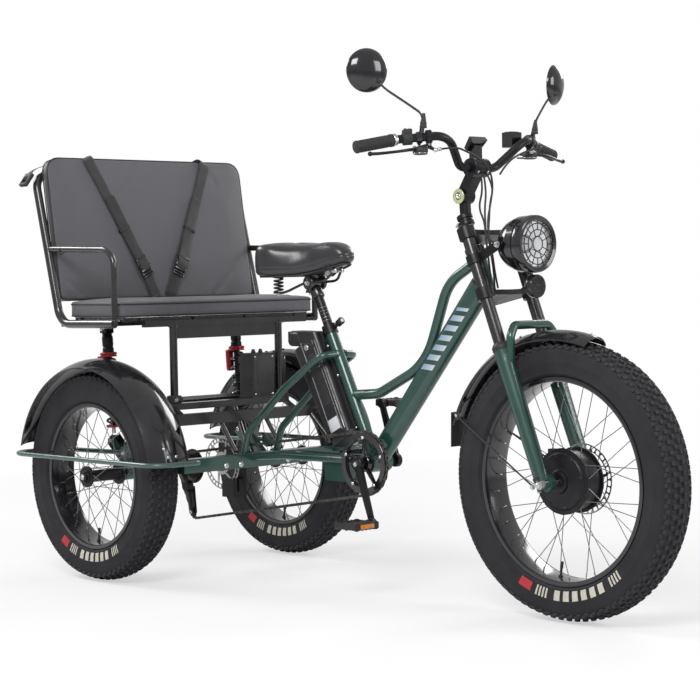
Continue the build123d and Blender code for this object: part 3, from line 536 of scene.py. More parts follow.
def clearGlass():
    # thin clear plastic: mostly see-through, with its own gloss
    finish, tree, shader, place = newFinish("clearLens", {"Alpha": 0.16, "IOR": 1.45})
    colour = blended(tree, noiseAt(tree, place, 15), (0.9, 0.92, 0.93), (0.95, 0.96, 0.97))
    feed(tree, shader, colour, spread(tree, noiseAt(tree, place, 30), 0.03, 0.1),
        raised(tree, noiseAt(tree, place, 200), 0.1, 0.0005))
    return finish


def webbingWeave():
    # ribbed black webbing: its ribs follow the strap's own map; the dips of the weave are coloured darker, a
    # painted shade, over a random tone
    finish, tree, shader, place = newFinish("webbingWeave", {"Sheen Weight": 0.5, "Sheen Roughness": 0.4})
    strapMap = nodeAt(tree, "ShaderNodeUVMap").outputs["UV"]
    split = nodeAt(tree, "ShaderNodeSeparateXYZ")
    tree.links.new(strapMap, split.inputs[0])
    ribs = mathAt(tree, "SINE", mathAt(tree, "MULTIPLY", split.outputs["X"], 2 * pi / 0.0022))
    threads = mathAt(tree, "SINE", mathAt(tree, "MULTIPLY", split.outputs["Y"], 2 * pi / 0.0016))
    height = mathAt(tree, "MULTIPLY", ribs, threads)
    # the weave's height sets its colour: its dips darker as painted shade, with random tone from the noise
    tone = mathAt(tree, "ADD", height, noiseAt(tree, place, 60, 5))
    colour = blended(tree, spread(tree, tone, 0, 1, -0.5, 1.6), (0.012, 0.012, 0.013), (0.034, 0.034, 0.037))
    feed(tree, shader, colour, spread(tree, noiseAt(tree, place, 40), 0.6, 0.8),
        raised(tree, height, 0.6, 0.0005))
    return finish


finishes["stripedPaint"] = stripedPaint()
finishes["clearLens"] = clearGlass()
finishes["webbingWeave"] = webbingWeave()

cadFinishes = {
    "stripedPaint": ["main_frame"],
    "frameGreen": ["rear_stays", "axle_housing", "fork_lowers"],
    "guardGreen": ["wheel_guards"],
    "blackTube": ["rear_platform", "bench_frame", "saddle_rails", "shock_springs", "fork_stanchions"],
    "blackAlloy": ["fork_crowns", "stem", "handlebar", "seatpost", "seatpost_clamp",
                   "headlight_bracket", "shock_absorbers", "crank_arms", "front_brake_caliper",
                   "rear_brake_caliper", "derailleur", "brake_levers", "front_hub_motor", "rear_hub_left",
                   "rear_hub_right", "chainring"],
    "rimAlloy": ["front_rim", "rear_rim_left", "rear_rim_right"],
    "spokeSteel": ["front_spokes", "rear_spokes_left", "rear_spokes_right"],
    "brightSteel": ["front_axle", "rear_axle"],
    "brakeSteel": ["front_brake_rotor", "rear_brake_rotor"],
    "chainSteel": ["chain", "cassette"],
    "glossPlastic": ["front_fender", "rear_fenders", "display", "mirrors", "headlight_housing"],
    "packPlastic": ["battery", "control_boxes"],
    "mattePlastic": ["horn", "battery_cradle", "pedal_left", "pedal_right", "cables"],
    "softGrip": ["grips"],
    "tyreRubber": ["front_tyre", "rear_tyre_left", "rear_tyre_right"],
    "seatVinyl": ["bench_seat_cushion", "bench_back_cushion"],
    "saddleSkin": ["saddle"],
    "webbingWeave": ["bench_straps"],
    "mirrorGlass": ["mirror_glasses"],
    "clearLens": ["headlight_lens"],
}
for finishName, members in cadFinishes.items():
    for member in members:
        cadMesh = nodes[member].data
        cadMesh.materials.clear()
        cadMesh.materials.append(finishes[finishName])
print("materials made:", len(finishes))


# Stage, light and camera

def makeStage():
    stage = {"floorSize": 60, "floorColour": (0.93, 0.93, 0.93), "keyPower": 150, "fillPower": 62,
        "rearPower": 85, "worldLevel": 0.36, "paperGlow": 0.55, "fadeFrom": 1.7, "fadeTo": 4.0}
    bpy.ops.mesh.primitive_grid_add(x_subdivisions=8, y_subdivisions=8, size=stage["floorSize"],
        location=(0, 0, -0.0005))
    floor = bpy.context.object
    floor.name = "floor"
    finish, tree, shader, place = newFinish("floorPaper", {"Specular IOR Level": 0.1})
    tone = noiseAt(tree, place, 0.8, 3)
    colour = blended(tree, tone, (0.91, 0.91, 0.91), stage["floorColour"])
    tree.links.new(colour, shader.inputs["Base Color"])
    tree.links.new(spread(tree, tone, 0.7, 0.9), shader.inputs["Roughness"])
    # for the camera the paper glows a little, and more away from the object, so its far edge is white
    distance = nodeAt(tree, "ShaderNodeVectorMath", operation="LENGTH")
    tree.links.new(place, distance.inputs[0])
    away = spread(tree, distance.outputs["Value"], stage["paperGlow"], 1, stage["fadeFrom"], stage["fadeTo"])
    seen = nodeAt(tree, "ShaderNodeLightPath").outputs["Is Camera Ray"]
    glow = nodeAt(tree, "ShaderNodeEmission")
    mixed = nodeAt(tree, "ShaderNodeMixShader")
    tree.links.new(mathAt(tree, "MULTIPLY", seen, away), mixed.inputs["Fac"])
    tree.links.new(shader.outputs[0], mixed.inputs[1])
    tree.links.new(glow.outputs[0], mixed.inputs[2])
    tree.links.new(mixed.outputs[0], tree.nodes["Material Output"].inputs["Surface"])
    floor.data.materials.append(finish)
    world = bpy.data.worlds.new("studio")
    bpy.context.scene.world = world
    world.use_nodes = True
    tree = world.node_tree
    behind = tree.nodes["Background"]
    behind.inputs["Color"].default_value = (1, 1, 1, 1)
    rays = nodeAt(tree, "ShaderNodeLightPath")
    seen = mathAt(tree, "MAXIMUM", rays.outputs["Is Camera Ray"], rays.outputs["Is Transmission Ray"])
    seen = mathAt(tree, "MAXIMUM", seen, mathAt(tree, "MULTIPLY", rays.outputs["Is Glossy Ray"], 0.28))
    level = mathAt(tree, "ADD", mathAt(tree, "MULTIPLY", seen, 1 - stage["worldLevel"]), stage["worldLevel"])
    tree.links.new(level, behind.inputs["Strength"])
    lamps = {"key": ((2.2, -3.6, 3.6), (2.2, 1.6), stage["keyPower"]),
        "fill": ((4.2, 1.6, 2.2), (1.8, 1.8), stage["fillPower"]), "rear": ((-3.6, -1.4, 3.2), (2.0, 1.4),
        stage["rearPower"]), "leftSide": ((-0.8, 4.2, 2.8), (2.2, 1.6), stage["fillPower"])}
    for name, (place, size, power) in lamps.items():
        light = bpy.data.lights.new(name, "AREA")
        light.shape = "RECTANGLE"
        light.size, light.size_y = size
        light.energy = power
        lamp = newObject(name, light)
        lamp.location = place
        lamp.rotation_euler = (upBy(0.6) - Vector(place)).to_track_quat("-Z", "Y").to_euler()


def makeCamera():
    viewpoint = {"place": (3.969, -3.827, 0.886), "azimuth": 46.51, "down": 2.26, "roll": 0.94, "lens": 102.86}
    cameraData = bpy.data.cameras.new("camera")
    cameraData.lens = viewpoint["lens"]
    cameraData.sensor_width = 36
    camera = newObject("camera", cameraData)
    azimuth, down = radians(viewpoint["azimuth"]), radians(viewpoint["down"])
    look = at(-sin(azimuth) * cos(down), cos(azimuth) * cos(down), -sin(down))
    camera.rotation_mode = "QUATERNION"
    turn = Matrix.Rotation(radians(viewpoint["roll"]), 3, look)
    camera.rotation_quaternion = (turn @ look.to_track_quat("-Z", "Y").to_matrix()).to_quaternion()
    camera.location = viewpoint["place"]
    bpy.context.scene.camera = camera


makeStage()
makeCamera()
bpy.context.scene.view_settings.view_transform = "Standard"
print("stage, lamps and camera made")


# Wheels: carcass with sidewall lines, knobs, marks, nipples, valve and hub

steeringTilt = radians(21.5)
steeringFoot = at(0.642, 0, 0.3535)
steeringUp = at(-sin(steeringTilt), 0, cos(steeringTilt))
steeringAhead = at(cos(steeringTilt), 0, sin(steeringTilt))


def onFork(ahead, left, up):
    return steeringFoot + steeringAhead * ahead + leftBy(left) + steeringUp * up


wheels = {}
for wheelName, node, seat, body, knobRows, markAngle in (("front", "front_tyre", 0.2535, "front_wheel", 84,
        -76.6), ("rearRight", "rear_tyre_right", 0.203, "rear_wheel_right", 72, -86),
        ("rearLeft", "rear_tyre_left", 0.203, "rear_wheel_left", 72, -86)):
    low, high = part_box(node)
    wheels[wheelName] = {"node": node, "centre": (low + high) / 2, "radius": (high.z - low.z) / 2, "seat": seat,
        "body": body, "knobRows": knobRows, "markAngle": markAngle}


def standUp(piece, centre):
    # a piece made round the local Z axis is turned to a wheel's own axis, along Y
    piece.data.transform(Matrix.Translation(centre) @ Matrix.Rotation(radians(90), 4, "X"))
    return piece


def makeCarcass(wheel, name):
    radius, seat = wheel["radius"], wheel["seat"]
    half = [(seat + 0.001, 0.0372), (seat + 0.0092, 0.0374), (seat + 0.0112, 0.0412), (seat + 0.015, 0.044),
        (seat + 0.0162, 0.0461), (seat + 0.0182, 0.0455), (seat + 0.03, 0.0482), (seat + 0.044, 0.0494),
        (seat + 0.0452, 0.0499), (seat + 0.0468, 0.0494), (radius - 0.033, 0.0487), (radius - 0.024, 0.0468),
        (radius - 0.018, 0.0432), (radius - 0.014, 0.037), (radius - 0.0098, 0.024), (radius - 0.0078, 0.009)]
    profile = half + [(r, -y) for r, y in reversed(half)] + [half[0]]
    carcass = smoothed(standUp(turned(name, profile, steps=120), wheel["centre"]), 50)
    return finished(carcass, wheel["body"], "tyreRubber", wheel["node"])


def makeKnob(length, width, height, tilt, across, radius, ahead):
    # a tapered block standing on the crown; across is its place along the axle
    bpy.ops.mesh.primitive_cube_add(size=1, location=(0, 0, 0))
    knob = bpy.context.object
    knob.scale = (width, length, height)
    settle(knob)
    selectFaces(knob, lambda face: face.normal.z > 0.9)
    bpy.ops.transform.resize(value=(0.78, 0.82, 1), center_override=(0, 0, 0))
    objectMode()
    bevelled(knob, 0.0009, 1)
    lift = Matrix.Translation((0, 0, radius - height / 2))
    spin = Matrix.Rotation(radians(ahead), 4, "X")
    lean = Matrix.Translation((across, 0, 0)) @ Matrix.Rotation(radians(tilt), 4, "Y")
    knob.data.transform(spin @ lift @ lean)
    return knob


def makeTread(wheel, name):
    tread = {"centreBlock": (0.013, 0.0105, 0.008), "middleBlock": (0.0125, 0.011, 0.009),
        "shoulderBlock": (0.0145, 0.011, 0.011), "crownArc": 0.0844}
    pitch = 360 / wheel["knobRows"]
    knobs = []
    layout = (("centreBlock", 0.0085, 0.0), ("middleBlock", 0.025, 0.5), ("shoulderBlock", 0.0405, 0.0))
    for number, (kind, across, shift) in enumerate(layout):
        length, width, height = tread[kind]
        for side in (-1, 1):
            drop = across ** 2 / (2 * tread["crownArc"])
            tilt = degrees(asin(across / tread["crownArc"])) * (1.15 if kind == "shoulderBlock" else 1)
            offset = shift + (0.5 if side > 0 and kind == "centreBlock" else 0)
            top = wheel["radius"] - drop - (0.0006 if kind != "shoulderBlock" else 0.0014)
            knobs.append(makeKnob(length, width, height, side * tilt, side * across, top, pitch * offset))
    # the outermost row wraps down on to the sidewall
    for side in (-1, 1):
        top = wheel["radius"] - 0.015
        knobs.append(makeKnob(0.0135, 0.009, 0.0075, side * 62, side * 0.0452, top, pitch * 0.5))
    row = arrayed(joined(name, knobs), wheel["knobRows"], "X")
    row.data.transform(Matrix.Translation(wheel["centre"]) @ Matrix.Rotation(radians(90), 4, "Z"))
    smoothed(row, 30)
    return finished(row, wheel["body"], "treadRubber")


def makeMarks(wheel, name):
    # bands of plain bars on each sidewall, with a red lozenge behind them; group: middle, bars, width and pitch
    marks = {"inner": wheel["seat"] + 0.0187, "middle": wheel["seat"] + 0.03, "outer": wheel["seat"] + 0.0437,
        "proud": 0.0006, "groups": ((-25, 4, 1.1, 2.1), (0, 6, 3.7, 5.9), (25, 4, 1.1, 2.1)), "redAt": -36}

    def strip(centre, wide, inset, side):
        wall = [(marks["inner"] + inset, 0.0457), (marks["middle"], 0.0483), (marks["outer"] - inset, 0.0494)]
        outline = [(r, y + marks["proud"]) for r, y in wall] + [(r, y - 0.002) for r, y in reversed(wall)]
        piece = turned("mark", outline + [outline[0]], steps=max(2, int(wide * 1.2)), angle=wide)
        if side > 0:
            piece.data.transform(Matrix.Scale(-1, 4, (0, 0, 1)))
            piece.data.flip_normals()
        piece.data.transform(Matrix.Rotation(radians(centre + wide / 2 - 180), 4, "Z"))
        editAll(piece)
        bpy.ops.mesh.normals_make_consistent(inside=False)
        objectMode()
        return standUp(piece, wheel["centre"])

    bars, reds = [], []
    for side in (-1, 1):
        middle = wheel["markAngle"] if side < 0 else 180 - wheel["markAngle"]
        for group, count, wide, pitch in marks["groups"]:
            for number in range(count):
                place = group + (number - (count - 1) / 2) * pitch
                bars.append(strip(middle - side * place, wide, 0, side))
        reds.append(strip(middle - side * marks["redAt"], 8, 0.0012, side))
    finished(joined(name + "Bars", bars), wheel["body"], "creamInk")
    finished(joined(name + "Lozenges", reds), wheel["body"], "redInk")


def makeSpokeFittings(wheel, name):
    # a nipple at each spoke's rim end, and the valve
    fittings = {"nippleRadius": 0.0021, "nippleLength": 0.012, "valveAngle": -98, "valveReach": 0.04}
    foot = wheel["seat"] - 0.0052
    pair = []
    for angle, side in ((0, 1), (10, -1)):
        outer = onCircle(angle, foot, side * 0.007)
        inner = outer - outer.normalized() * fittings["nippleLength"] + leftBy(side * 0.0018)
        pair.append(rod("nipple", outer, inner, fittings["nippleRadius"], 8, 0.0005))
    finished(moved(arrayed(joined(name + "Nipples", pair), 18, "Y"), wheel["centre"]), wheel["body"],
        "brightSteel", slot="spoke_steel")
    outward = onCircle(fittings["valveAngle"])
    base = wheel["centre"] + outward * (foot + 0.001)
    tip = base - outward * fittings["valveReach"]
    parts = [rod("valve", base, base - outward * 0.006, 0.0058, 20), rod("valve", base, tip, 0.003, 16),
        rod("valve", base - outward * 0.024, tip - outward * 0.001, 0.0041, 16)]
    finished(joined(name + "Valve", parts), wheel["body"], "mattePlastic", slot="tyre_rubber")


for wheelName, wheel in wheels.items():
    makeCarcass(wheel, wheelName + "Tyre")
    makeTread(wheel, wheelName + "Tread")
    makeMarks(wheel, wheelName + "Mark")
    makeSpokeFittings(wheel, wheelName)
    print("tyre made:", wheelName)


# Fasteners: one of each kind is modelled, and the rest are copies of it

def makeButtonBolt():
    # a round head with a hexagonal recess, 10 mm across
    head = turned("buttonBolt", mm((0, 3), (2.6, 3), (4, 2.2), (5, 0.6), (5, -1), (0, -1)), steps=24)
    bpy.ops.mesh.primitive_cylinder_add(vertices=6, radius=0.0022, depth=0.003, location=(0, 0, 0.0026))
    cutBy(head, bpy.context.object)
    return smoothed(head, 30)


def makeHexNut():
    # a nut 13 mm across on its washer, with the end of its thread
    bpy.ops.mesh.primitive_cylinder_add(vertices=6, radius=0.0073, depth=0.0058, location=(0, 0, 0.004))
    nut = bpy.context.object
    bevelled(nut, 0.0006, 2, 20)
    washer = turned("washer", mm((3.5, 0), (8.6, 0), (8.8, 0.4), (8.6, 1.3), (3.5, 1.3)), steps=32)
    thread = turned("thread", mm((0, 9.6), (2.8, 9.6), (3.4, 9), (3.4, 6)), steps=20)
    return smoothed(joined("hexNut", [nut, washer, thread]), 30)


bolt = makeButtonBolt()
nut = makeHexNut()
fasteners = {}


def fasten(kind, body, place, direction, size=1.0, turn=0.0, tone="brightSteel"):
    fasteners.setdefault((body, tone), []).append(copied(kind, "fastener", place, direction, turn, size))


# Rims and hubs

def makeRim(wheel, name, node):
    seat = wheel["seat"]
    rim = {"lip": seat + 0.008, "floor": seat - 0.005}
    half = [(rim["lip"] - 0.0004, 0.0378), (rim["lip"], 0.0384), (rim["lip"] + 0.0002, 0.04),
        (rim["lip"] - 0.0002, 0.0416), (rim["lip"] - 0.0016, 0.0421), (seat + 0.001, 0.0421),
        (seat - 0.0026, 0.0417), (seat - 0.0042, 0.039), (seat - 0.0042, 0.03), (rim["floor"], 0.0265),
        (rim["floor"] - 0.0006, 0.014), (rim["floor"] - 0.0012, 0.0085)]
    inner = [(seat - 0.003, 0.0085), (seat - 0.0018, 0.034), (seat - 0.0004, 0.0378)]
    profile = half + [(r, -y) for r, y in reversed(half)] + [(r, -y) for r, y in inner] + [(r, y) for r,
        y in reversed(inner)] + [half[0]]
    finished(smoothed(standUp(turned(name + "Rim", profile, steps=144), wheel["centre"]), 40), wheel["body"],
        "rimAlloy", node)


for wheelName, rimNode in (("front", "front_rim"), ("rearRight", "rear_rim_right"),
        ("rearLeft", "rear_rim_left")):
    makeRim(wheels[wheelName], wheelName, rimNode)


def makeHubMotor():
    motor = {"coverBolts": 8, "holes": 18}
    centre = wheels["front"]["centre"]
    profile = mm((8.2, 49.8), (24, 49.8), (27.5, 48), (30, 41.5), (36, 39.2), (60, 38.4), (64, 37.2),
        (69, 37.2), (71.5, 35.2), (73.5, 31.8), (83.6, 31.4), (84, 30.6), (84, 27.4), (83.6, 26.6),
        (76.5, 26.2), (75.5, 22), (75.5, 13), (76.5, 12), (76.5, 4), (75.5, 3), (75.5, -22), (76.5, -26.2),
        (83.6, -26.6), (84, -27.4), (84, -30.6), (83.6, -31.4), (73.5, -31.8), (71.5, -35), (66, -37.2),
        (45, -38.2), (36, -40), (33.5, -49), (31, -51.2), (8.2, -51.6), (8.2, 49.8))
    shell = turned("frontHubMotor", profile, steps=72)
    # the flange is scalloped between the spoke holes
    selectFaces(shell, lambda face: False)
    objectMode()
    for point in shell.data.vertices:
        reach = hypot(point.co.x, point.co.y)
        if reach > 0.083:
            around = atan2(point.co.y, point.co.x)
            shrink = 1 - 0.011 * (1 + cos(around * motor["holes"])) / 2
            point.co.x *= shrink
            point.co.y *= shrink
    standUp(shell, centre)
    finished(shell, "front_wheel", "blackAlloy", "front_hub_motor")
    for side, level in ((-1, 0.0376), (1, 0.0376)):
        for number in range(motor["coverBolts"]):
            place = centre + onCircle(number * 360 / motor["coverBolts"] + 12, 0.0665, side * level)
            fasten(bolt, "front_wheel", place, (0, side, 0), 0.8, 0.3, "mattePlastic")
    # the motor lead leaves the axle on the right, through a boot
    finished(turned("motorLeadBoot", mm((0, -4), (8.5, -4), (9, 0), (8.8, 4), (6.6, 7), (6.6, 10), (5, 13),
        (0, 13)), centre + at(-0.004, -0.1185, 0.006), (-0.5, -0.5, 0.75), 20), "steering", "mattePlastic")


def makeRotor(name, node, body, place, outer, carrier, thickness=0.0018):
    # a wavy ring on slanted arms, its band cut through into a lattice
    rotor = {"band": 0.016, "links": 30, "arms": 6}
    inner = outer - rotor["band"]
    parts = []
    for low, high in ((outer - 0.0034, outer), (inner, inner + 0.003)):
        parts.append(turned("band", [(low, -thickness / 2), (high, -thickness / 2), (high, thickness / 2),
            (low, thickness / 2), (low, -thickness / 2)], steps=90))
    middle = (outer + inner) / 2
    strut = bar("strut", (inner + 0.002, 0, 0), (outer - 0.002, 0.0052, 0), (0, 1, 0), 0.0026, thickness,
        0.0003)
    other = bar("strut", (inner + 0.002, 0.0052, 0), (outer - 0.002, 0, 0), (0, 1, 0), 0.0026, thickness,
        0.0003)
    parts.append(arrayed(joined("struts", [strut, other]), rotor["links"], "Z"))
    arm = bar("arm", (carrier, 0, 0), (middle - 0.004, 0.017, 0), (0, 1, 0), 0.0085, thickness, 0.0004, 0.8)
    parts += [arrayed(arm, rotor["arms"], "Z"), turned("carrier", [(carrier - 0.01, -0.0024),
        (carrier + 0.003, -0.0024), (carrier + 0.003, 0.0024), (carrier - 0.01, 0.0024),
        (carrier - 0.01, -0.0024)], steps=48)]
    finished(smoothed(standUp(joined(name, parts), place), 30), body, "brakeSteel", node)
    for number in range(6):
        spot = Vector(place) + onCircle(number * 60 + 20, carrier - 0.003, 0.0026)
        fasten(bolt, body, spot, (0, 1, 0), 0.8, 0.5)


def makeRearHub(wheel, name, node):
    half = mm((9.2, 65.5), (16.5, 65.5), (18, 64), (18.5, 61.2), (30, 60.8), (31, 59.8), (31, 54.2), (30, 53.2),
        (20, 52.2), (17.8, 49), (17.2, 20))
    profile = half + [(r, -y) for r, y in reversed(half)] + [half[0]]
    finished(standUp(turned(name, profile, steps=48), wheel["centre"]), wheel["body"], "blackAlloy", node)
    # end cap and axle nut
    side = -1 if wheel["centre"].y < 0 else 1
    finished(turned(name + "Cap", mm((8.6, 0), (15, 0), (15.8, 1), (15.8, 5), (12.5, 8), (8.6, 8)),
        wheel["centre"] + leftBy(side * 0.0662), (0, side, 0), 32), "frame", "blackAlloy")
    nutPlace = at(wheel["centre"].x, side * 0.4275, wheel["centre"].z)
    fasten(nut, "frame", nutPlace - leftBy(side * 0.001), (0, side, 0), 1.25)


makeHubMotor()
low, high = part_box("front_brake_rotor")
makeRotor("frontRotor", "front_brake_rotor", "front_wheel", (low + high) / 2, 0.09, 0.036)
low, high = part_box("rear_brake_rotor")
rearRotorPlace = at((low.x + high.x) / 2, 0.089, (low.z + high.z) / 2)
makeRotor("rearRotor", "rear_brake_rotor", "frame", rearRotorPlace, 0.08, 0.032)
rearCarrier = turned("rearRotorCarrier", mm((8.6, -12), (20, -12), (24, -8), (24, 6), (20, 10), (8.6, 10),
    (8.6, -12)), rearRotorPlace, (0, 1, 0), 40)
finished(rearCarrier, "frame", "blackAlloy")
for wheelName, hubNode in (("rearRight", "rear_hub_right"), ("rearLeft", "rear_hub_left")):
    makeRearHub(wheels[wheelName], wheelName + "Hub", hubNode)
print("rims, hubs and rotors made")


# Front axle, fork and headset

def makeForkDetails():
    fork = {"leg": (0.065, 0.0865), "lowerTop": 0.333, "crowns": (0.479, 0.644)}
    axle = wheels["front"]["centre"]
    ahead, spacing = fork["leg"]
    for side in (-1, 1):
        top = onFork(ahead, side * spacing, fork["lowerTop"])
        finished(turned(sided("forkWiper", side), mm((16.3, 12), (18.5, 12), (20.5, 9), (24, 4), (24.6, 0),
            (24.4, -6), (23.5, -8)), top, steeringUp, 40), "steering", "mattePlastic")
        finished(turned(sided("forkCap", side), mm((0, 5), (9.5, 5), (10.5, 4), (15, 3), (16, 1), (16.2, -2)),
            onFork(ahead, side * spacing, 0.6622), steeringUp, 40), "steering", "blackAlloy")
        for level in fork["crowns"]:
            for offset in (-0.008, 0.008):
                fasten(bolt, "steering", onFork(ahead - 0.0225, side * (spacing - 0.004), level + offset),
                    -steeringAhead, 0.85, 0.2)
        fasten(nut, "steering", axle + leftBy(side * 0.1172), (0, side, 0), 1.45, 0.3)
        # lower leg's foot bolt
        finished(turned(sided("footBolt", side), mm((0, -4), (7, -4), (9, -2), (9.5, 2)),
            onFork(ahead, side * spacing, -0.0465), steeringUp, 24), "steering", "blackAlloy")
    cups = {"lowerCup": (0.495, -1), "upperCup": (0.629, 1)}
    for name, (level, side) in cups.items():
        finished(turned(name, mm((18, 1), (25.2, 1), (26.2, 0), (26.2, -6), (25, -12), (24.3, -14)),
            onFork(0, 0, level), steeringUp * side, 48), "frame", "blackAlloy")
        finished(ring(name + "Line", onFork(0, 0, level + side * 0.0026), steeringUp, 0.0232, 0.0012),
            "steering", "brightSteel")


makeForkDetails()


# Headlight: shell, bezel, bowl, bulb and wire grille

def makeHeadlight():
    lamp = {"z": 0.947, "grilleWires": 16, "rings": (0.018, 0.036, 0.052)}
    place = upBy(lamp["z"])
    forward = at(1, 0, 0)
    shell = turned("headlightShell", mm((0, 514.2), (20, 514.6), (28, 517), (32, 521), (40, 528), (52, 539),
        (61, 552), (66.5, 566), (69, 576), (69, 579), (71.2, 580), (72, 600), (70, 601), (70, 604), (72.6, 606),
        (73.3, 610), (73.2, 626), (71.5, 630.5), (68, 632), (60, 630), (58.5, 627), (58.3, 612), (56, 606),
        (48, 584), (36, 565), (22, 554), (13, 551), (0, 551)), place, forward, 72)
    finished(shell, "steering", "glossPlastic", "headlight_housing")
    # the bowl carries a painted reflection: pale colour and a faint glow, though the lamp is not lit
    finished(turned("headlightBowl", mm((57.2, 612.5), (55.5, 607), (47.5, 585.2), (35.5, 566.4), (21.8, 555.6),
        (13, 552.6)), place, forward, 72), "steering", "reflectorBowlPaintedGlow")
    finished(turned("headlightBulb", mm((0, 602), (9, 600.5), (15, 596), (18, 588), (18.5, 576), (17.5, 570),
        (17.5, 560), (0, 560)), place, forward, 40), "steering", "whiteLabel")
    collar = ring("headlightBulbCollar", place + forward * 0.59, forward, 0.0215, 0.0028, 48)
    spokes = [rod("spoke", place + forward * 0.59 + at(0, 0.021 * cos(a), 0.021 * sin(a)),
        place + forward * 0.606 + at(0, 0.054 * cos(a), 0.054 * sin(a)), 0.0016, 8)
        for a in [radians(30 + 60 * n) for n in range(6)]]
    finished(joined("headlightRibs", [collar] + spokes), "steering", "blackAlloy")
    wires = [ring("grilleRing", place + forward * 0.63, forward, radius, 0.0013, 72, 8)
        for radius in lamp["rings"]]
    wireAt = []
    for number in range(lamp["grilleWires"]):
        around = radians(number * 360 / lamp["grilleWires"])
        inner = 0.018 if number % 2 else 0.036
        sideways = at(0, cos(around), sin(around))
        wireAt.append(rod("grilleWire", place + forward * 0.6296 + sideways * inner,
            place + forward * 0.6292 + sideways * 0.06, 0.0012, 8, 0.0003))
    finished(joined("headlightGrille", wires + wireAt), "steering", "blackAlloy")
    for side in (-1, 1):
        fasten(nut, "steering", at(0.566, side * 0.0815, lamp["z"]), (0, side, 0), 1.0)
    finished(turned("headlightBoot", mm((8.5, -1), (8.5, 3), (6, 6), (6, 9), (4.4, 13), (0, 13)),
        (0.5148, -0.022, 0.9485), (-1, 0, 0.1), 20), "steering", "mattePlastic")


makeHeadlight()


def makeHorn():
    horn = {"place": at(0.63, 0, 0.84)}
    body = turned("hornBody", mm((0, -31), (19, -31), (21.5, -28), (21.5, -24), (27, -21), (29.6, -17),
        (30, -12), (30, -2), (28.8, 0), (25.5, 0), (24, -1.6), (11, -2), (9.5, -0.8), (0, -0.4)), horn["place"],
        (1, 0, 0), 48)
    neck = slab("hornStrap", (0.6, -0.0095, 0.85), (0.6055, 0.0095, 0.8735), 0.0012)
    finished(joined("hornBody", [body, neck]), "steering", "glossPlastic", "horn", slot="black_matte_plastic")
    slots = [bar("hornRib", horn["place"] + at(-0.0016, 0, z) - leftBy(w),
        horn["place"] + at(-0.0016, 0, z) + leftBy(w), (0, 0, 1), 0.0022, 0.0018, 0.0004) for z,
        w in ((-0.016, 0.017), (-0.008, 0.021), (0.0, 0.023), (0.008, 0.021), (0.016, 0.017))]
    finished(joined("hornGrille", slots), "steering", "blackAlloy", slot="black_matte_plastic")


makeHorn()
print("fork, headlight and horn made")


# The bench's cushions are swollen as cloth, then seamed and piped

def swollen(piece, held, pressure=4.0, cap=0.01, frames=20):
    # held(place) is how firmly a point stays where it is, from 0 to 1
    before = [point.co.copy() for point in piece.data.vertices]
    group = piece.vertex_groups.new(name="held")
    for point in piece.data.vertices:
        group.add([point.index], held(point.co), "REPLACE")
    cloth = piece.modifiers.new("swell", "CLOTH")
    cloth.settings.quality = 4
    cloth.settings.mass = 0.3
    cloth.settings.tension_stiffness = 12
    cloth.settings.compression_stiffness = 12
    cloth.settings.shear_stiffness = 6
    cloth.settings.bending_stiffness = 1.5
    cloth.settings.use_pressure = True
    cloth.settings.uniform_pressure_force = pressure
    cloth.settings.vertex_group_mass = "held"
    cloth.settings.effector_weights.gravity = 0
    for step in range(1, frames + 1):
        bpy.context.scene.frame_set(step)
    applyModifiers(piece)
    bpy.context.scene.frame_set(1)
    for point, start in zip(piece.data.vertices, before):
        shift = point.co - start
        if shift.length > cap:
            point.co = start + shift * (cap / shift.length)
    piece.vertex_groups.clear()
    return piece


def remeshed(piece, voxel):
    skin = piece.modifiers.new("skin", "REMESH")
    skin.mode = "VOXEL"
    skin.voxel_size = voxel
    skin.use_smooth_shade = True
    return applyModifiers(piece)


def outlineDistance(place, halfWidth, halfHeight, corners):
    # how far inside a rounded rectangle a place is, below zero outside it; corners: upper and lower
    corner = corners[0] if place.y > 0 else corners[1]
    across = abs(place.x) - (halfWidth - corner)
    along = abs(place.y) - (halfHeight - corner)
    outside = hypot(max(across, 0), max(along, 0)) + min(max(across, along), 0)
    return corner - outside


